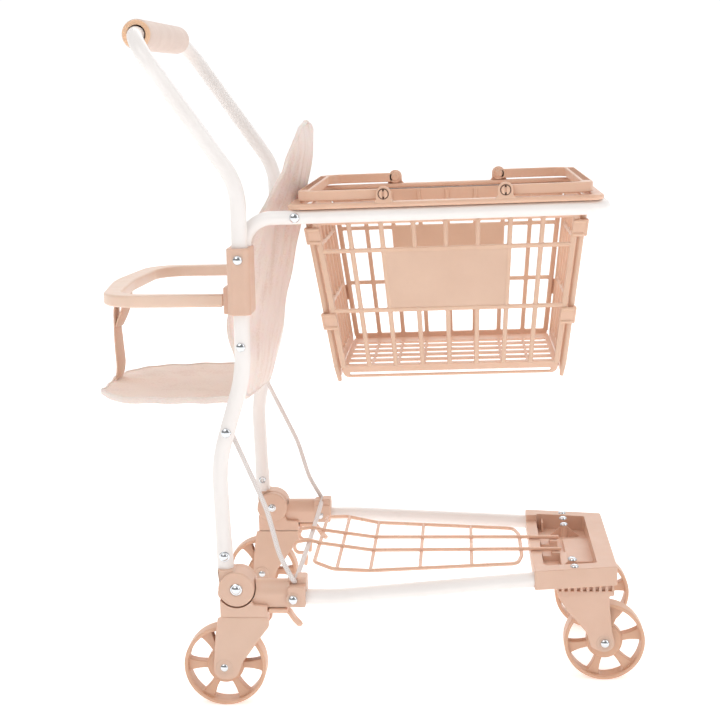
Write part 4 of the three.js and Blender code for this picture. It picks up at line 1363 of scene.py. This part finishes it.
def bail(name, end):
    """A folding carry handle: two arms and a cross bar, hollow on top with ribs across it."""
    outer_y, inner_y, pivot_x = 106.8, 101.4, BAIL_PIVOT_X
    reach, inner = 116.4, 107.6

    def place(a, b, n):
        return BASKET @ Vector((end * a, b, n))

    outline = fillet(
        [
            (pivot_x, -outer_y, 0), (reach, -outer_y, 15), (reach, outer_y, 15), (pivot_x, outer_y, 0),
            (pivot_x, inner_y, 0), (inner, inner_y, 11), (inner, -inner_y, 11), (pivot_x, -inner_y, 0),
        ],
        10,
    )
    hoop = plate(outline, 75.2, 83.4, 1.2, place, rings=4)
    cells = []
    width = 11.4
    for k in range(-7, 8):
        cell = fillet(rectangle(inner + 1.7, (k - 0.5) * width + 0.8, reach - 1.7, (k + 0.5) * width - 0.8))
        cells.append(plate(cell, 77.4, 86, 0, place))
    parts = [carve(hoop, [merged(cells)])]
    for s in (1, -1):
        low, high = sorted((s * inner_y, s * outer_y))
        eye = lathe(
            [(0, low), (4.9, low), (5.4, low + 0.5), (5.4, high - 0.5), (4.9, high), (0, high)],
            (end * pivot_x, 0, 79.3),
            (0, 1, 0),
            40,
        )
        parts.append(moved(eye, BASKET))
    stand_in(f"bail_{name}", parts, PEACH_SMOOTH, f"{name}_bail", "peach_plastic")


basket_floor()
basket_rim()
for side_name, side_sign in SIDES:
    basket_side(side_name, side_sign)
for end_name, end_sign in (("front", 1), ("rear", -1)):
    basket_end(end_name, end_sign)
    bail(end_name, end_sign)
    for side_name, side_sign in SIDES:
        bail_screw(end_name, end_sign, side_name, side_sign)

# ------------------------------------------------------------------ elastic cord


def with_uv(bm, points, count):
    """Gives a swept mesh UVs: turns round, and metres along."""
    layer = bm.loops.layers.uv.new("UVMap")
    lengths = [0.0]
    for a, b in zip(points, points[1:]):
        lengths.append(lengths[-1] + (b - a).length / 1000)
    bm.verts.index_update()
    for face in bm.faces:
        columns = [loop.vert.index % count for loop in face.loops]
        wraps = max(columns) - min(columns) > count / 2
        for loop, column in zip(face.loops, columns):
            row = loop.vert.index // count
            turn = (column + count if wraps and column < count / 2 else column) / count
            loop[layer].uv = (turn, lengths[min(row, len(lengths) - 1)])
    return bm


def elastic_cord():
    def side(s):
        return [
            (9.5, s * 108.9, 229), (38.0, s * 116.5, 165, 90), (47.5, s * 121, 128, 60),
            (59.4, s * 124.2, 105.6, 4), (60.2, s * 100, 105.8, 30), (60.2, s * 24, 104.2, 30),
        ]

    points = centreline(side(-1) + side(1)[::-1], 8, 4)
    cord = with_uv(sweep(points, lambda i, share: circle(2.0, 16)), points, 16)
    made = stand_in("elastic_cord", cord, BRAID, "base", "elastic", weighted=False)
    made.parent = None
    del made["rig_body"]
    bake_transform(made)


elastic_cord()

# ------------------------------------------------------------------ seat back, seat pan and strap


def lerp_table(table, value):
    """Straight-line look-up in rising (key, value) pairs."""
    if value <= table[0][0]:
        return table[0][1]
    for (a, x), (b, y) in zip(table, table[1:]):
        if value <= b:
            return x + (y - x) * (value - a) / (b - a)
    return table[-1][1]


def smooth_table(table, value):
    """Smooth look-up: a Catmull-Rom curve through rising (key, value) pairs."""
    keys = [k for k, _ in table]
    if value <= keys[0]:
        return table[0][1]
    if value >= keys[-1]:
        return table[-1][1]
    i = max(j for j, k in enumerate(keys) if k <= value)
    p1, p2 = table[i], table[i + 1]
    p0 = table[i - 1] if i else p1
    p3 = table[i + 2] if i + 2 < len(table) else p2
    span = p2[0] - p1[0]
    t = (value - p1[0]) / span
    m1 = (p2[1] - p0[1]) / max(p2[0] - p0[0], 1e-6) * span
    m2 = (p3[1] - p1[1]) / max(p3[0] - p1[0], 1e-6) * span
    t2, t3 = t * t, t * t * t
    return (2 * t3 - 3 * t2 + 1) * p1[1] + (t3 - 2 * t2 + t) * m1 + (-2 * t3 + 3 * t2) * p2[1] + (t3 - t2) * m2


EDGE_X = [
    (250, 14.0), (286.7, 12.3), (300.8, 8.3), (320.6, 9.0), (357, 22.0), (380, 28.0), (396, 33.5), (412, 43.0),
    (430, 50.3), (465, 62.9), (472, 64.5),
]
MIDDLE_X = [
    (250, 25.4), (258, 28.7), (294, 38.6), (311, 42.0), (340, 47.2), (385, 56.0), (419.5, 63.8),
    (441, 68.0), (453, 69.0), (471, 66.0),
]
BACK_TOP, BACK_LOW = 472.5, 250.0
ARCH = [
    (404, 87.0), (420, 84.4), (436, 80.6), (449.6, 75.2), (456.2, 69.2), (462.1, 60.0), (467.4, 47.0),
    (470.2, 34.0), (471.6, 20.0), (472.3, 9.0), (472.5, 4.0),
]


def back_half_width(z):
    """Half the seat back's width at a height: arched at the top, rounded at the foot."""
    if z > ARCH[0][0]:
        return smooth_table(ARCH, z)
    if z < BACK_LOW + 16:
        t = (BACK_LOW + 16 - z) / 16
        return 74 + 13 * math.sqrt(max(0.0, 1 - t * t))
    return 87.0


def back_point(v, z, offset=0.0):
    """A point of the seat back: v from -1 to 1 across, z up."""
    half = back_half_width(z)
    y = v * half
    share = 1 - abs(y / 87.0) ** 2.1
    x = smooth_table(EDGE_X, z) + (smooth_table(MIDDLE_X, z) - smooth_table(EDGE_X, z)) * share
    for sign in (1, -1):
        for centre, width, depth in ((60, 4.5, 2.6), (70, 4.0, 3.0), (79, 3.2, 2.2)):
            fan = 1 - 0.16 * math.exp(-((z - 400) / 30) ** 2)
            near = math.exp(-(((y * sign) - centre * fan) / width) ** 2)
            tall = math.exp(-((z - 412) / 27) ** 2)
            x -= depth * near * tall
    hang = 0.25 * max(0.0, min(1.0, (466 - z) / 30)) + 0.75 * math.exp(-(((z - 400) / 34) ** 2))
    x += 1.5 * hang * math.sin(y * 0.36 + 0.014 * (z - 380) * math.tanh(y / 25))
    x += 0.7 * hang * math.sin(y * 0.83 + 0.9 + 0.01 * z)
    x += 0.8 * math.sin(z * 0.055 + v * 2.1) * math.sin(v * 3.3 + 0.6)
    x += 0.5 * math.sin(z * 0.13 + v * 5.0)
    return Vector((x + offset, y, z))


def cloth_grid(point_at, columns, rows, thickness, widths):
    """A closed sheet two skins thick, with UVs in metres. point_at(i, j) gives a point and its normal."""
    bm = bmesh.new()
    layer = bm.loops.layers.uv.new("UVMap")
    front, back = [], []
    for i in range(rows + 1):
        front.append([])
        back.append([])
        for j in range(columns + 1):
            point, normal = point_at(i / rows, j / columns)
            front[-1].append(bm.verts.new(point + normal * thickness / 2))
            back[-1].append(bm.verts.new(point - normal * thickness / 2))

    def uv(i, j):
        return (j / columns * widths[0], i / rows * widths[1])

    def face(corners, places):
        made = bm.faces.new(corners)
        for loop, place in zip(made.loops, places):
            loop[layer].uv = uv(*place)

    for i in range(rows):
        for j in range(columns):
            places = [(i, j), (i, j + 1), (i + 1, j + 1), (i + 1, j)]
            face([front[a][b] for a, b in places], places)
            places.reverse()
            face([back[a][b] for a, b in places], places)
    for i in range(rows):
        for j in (0, columns):
            places = [(i, j), (i + 1, j), (i + 1, j), (i, j)]
            corners = [front[i][j], front[i + 1][j], back[i + 1][j], back[i][j]]
            face(corners if j == 0 else corners[::-1], places)
    for j in range(columns):
        for i in (0, rows):
            places = [(i, j), (i, j + 1), (i, j + 1), (i, j)]
            corners = [front[i][j], front[i][j + 1], back[i][j + 1], back[i][j]]
            face(corners[::-1] if i == 0 else corners, places)
    bmesh.ops.recalc_face_normals(bm, faces=bm.faces)
    return bm


def surface_normal(function, u, v, step=1e-3):
    du = function(min(u + step, 1), v) - function(max(u - step, 0), v)
    dv = function(u, min(v + step, 1)) - function(u, max(v - step, 0))
    return dv.cross(du).normalized()


def seat_back():
    def at(u, v):
        return back_point(2 * v - 1, BACK_LOW + (BACK_TOP - BACK_LOW) * u)

    def point_at(u, v):
        return at(u, v), surface_normal(at, min(max(u, 0.01), 0.99), min(max(v, 0.01), 0.99))

    cloth = cloth_grid(point_at, 96, 96, 2.6, (0.19, 0.24))
    back = stand_in("backrest", cloth, BACK_CLOTH, "upper_frame", "seat_fabric", weighted=False, sharp=60)
    steps = 60
    heights = [BACK_LOW + (BACK_TOP - BACK_LOW) * k / steps for k in range(steps + 1)]
    edge = [back_point(-1, z) for z in heights]
    edge += [back_point(-1 + 2 * k / 20, BACK_TOP) for k in range(1, 20)]
    edge += [back_point(1, z) for z in reversed(heights)]
    edge += [back_point(1 - 2 * k / 20, BACK_LOW) for k in range(1, 20)]
    rows = []
    count = len(edge)
    normal = Vector((1, 0, 0))
    for k in range(count):
        tangent = (edge[(k + 1) % count] - edge[k - 1]).normalized()
        normal_here = (normal - tangent * normal.dot(tangent)).normalized()
        side = tangent.cross(normal_here)
        rows.append([edge[k] + normal_here * a + side * b for a, b in circle(1.9, 12)])
    piping = grid_mesh(rows, closed_across=True, closed_along=True)[0]
    surface_uv(piping, lambda p: (p.y / 1000, p.z / 1000))
    rim = piece("backrest_piping", piping, PIPING, "upper_frame", "seat_fabric", weighted=False, sharp=60)


SEAT_X, SEAT_LENGTH = -110, 119


def seat_half_width(x):
    """Half the seat pan's width at x."""
    return lerp_table([(-110.0, 47.0), (-107, 52), (-97, 69), (-84, 82.5), (-76, 85), (9, 86.5)], x)


def seat_height(x, y):
    """The seat pan's top: nearly flat, sagging a little, and gathered where the strap is sewn on."""
    z = 251.0 - 1.6 * math.exp(-(((x + 45) / 45) ** 2)) * (1 - (y / 90) ** 2)
    front = math.exp(-(((x + 106) / 16) ** 2))
    z += 2.4 * front * math.exp(-((y / 16) ** 2))
    z += 1.1 * front * math.sin(y * 0.24 + 0.7) * math.exp(-((y / 42) ** 2))
    z += 0.7 * math.sin(x * 0.07 + 0.8) * math.sin(y * 0.045 + 0.4)
    z += 0.35 * math.sin(x * 0.21 + y * 0.13)
    return z - 2.4 - 2.1 * y / 86


def seat_pan():
    def at(u, v):
        x = SEAT_X + SEAT_LENGTH * v
        y = (2 * u - 1) * seat_half_width(x)
        return Vector((x, y, seat_height(x, y)))

    def point_at(u, v):
        normal = surface_normal(at, min(max(u, 0.01), 0.99), min(max(v, 0.01), 0.99))
        return at(u, v), normal if normal.z > 0 else -normal

    cloth = cloth_grid(point_at, 80, 100, 2.4, (0.119, 0.172))
    pan = stand_in("seat_pan", cloth, SEAT_CLOTH, "upper_frame", "seat_fabric", weighted=False, sharp=60)

    def on_seat(x, y):
        return Vector((x, y, seat_height(x, y)))

    xs = [SEAT_X + SEAT_LENGTH * k / 40 for k in range(41)]
    wide = seat_half_width(SEAT_X)
    edge = [on_seat(x, -seat_half_width(x)) for x in reversed(xs)]
    edge += [on_seat(SEAT_X, -wide + 2 * wide * k / 24) for k in range(1, 24)]
    edge += [on_seat(x, seat_half_width(x)) for x in xs]
    hem_section = [
        (2.0, -0.9), (2.3, 0), (2.0, 0.9), (0, 1.3), (-2.6, 1.2), (-3.3, 0.6), (-3.5, 0), (-3.3, -0.6),
        (-2.6, -1.2), (0, -1.3),
    ]
    hem = sweep(edge, lambda i, share: hem_section, up=(0, 0, 1))
    surface_uv(hem, lambda p: (p.x / 1000, (p.y + p.z) / 1000))
    band = piece("seat_hem", hem, PIPING, "upper_frame", "seat_fabric", weighted=False, sharp=60)


def strap():
    """The crotch strap: two layers from the bumper's underside, joined to one tail sewn to the seat."""

    def ribbon(line, half, thick, twist):
        dense = []
        for (x1, z1), (x2, z2) in zip(line, line[1:]):
            dense += [(x1 + (x2 - x1) * k / 4, z1 + (z2 - z1) * k / 4) for k in range(4)]
        dense.append(line[-1])
        for _ in range(3):
            inner = zip(dense, dense[1:], dense[2:])
            dense = [
                dense[0], *[((a[0] + 2 * b[0] + c[0]) / 4, (a[1] + 2 * b[1] + c[1]) / 4) for a, b, c in inner],
                dense[-1],
            ]
        points = [Vector((x, 0, z)) for x, z in dense]
        rows = []
        last = len(points) - 1
        edge = [(-half, 0.35), (-half + 0.8, 0.6), (half - 0.8, 0.6), (half, 0.35)]
        outline = edge + [(a, -b) for a, b in reversed(edge)]
        for i, point in enumerate(points):
            tangent = (points[min(i + 1, last)] - points[max(i - 1, 0)]).normalized()
            across = Vector((0, 1, 0))
            across.rotate(Matrix.Rotation(twist(i / last), 3, tangent))
            normal = tangent.cross(across)
            rows.append([point + across * a + normal * b * thick for a, b in outline])
        return surface_uv(capped(rows), lambda p: (p.y / 1000, p.z / 1000))

    under_front = [(-101.6, 331.5), (-104.2, 322), (-105.6, 312), (-105.2, 303)]
    under_back = [(-93.6, 331.5), (-94.6, 322), (-97.8, 312), (-101.4, 304), (-103.6, 299)]
    tail = [(-105.2, 306), (-104.9, 292), (-104.2, 276), (-103.4, 266), (-104.4, 258), (-106.2, 252.4)]
    half = 9.3
    parts = [
        ribbon(under_front, half, 1.2, lambda t: -0.05 + 0.10 * t),
        ribbon(under_back, half, 1.3, lambda t: 0.10 + 0.10 * math.sin(t * 3)),
        ribbon(tail, half, 1.5, lambda t: 0.05 + 0.12 * math.sin(t * 3)),
    ]
    stand_in("crotch_strap", parts, WEBBING, "upper_frame", "seat_fabric", weighted=False, sharp=50)


seat_back()
seat_pan()
strap()
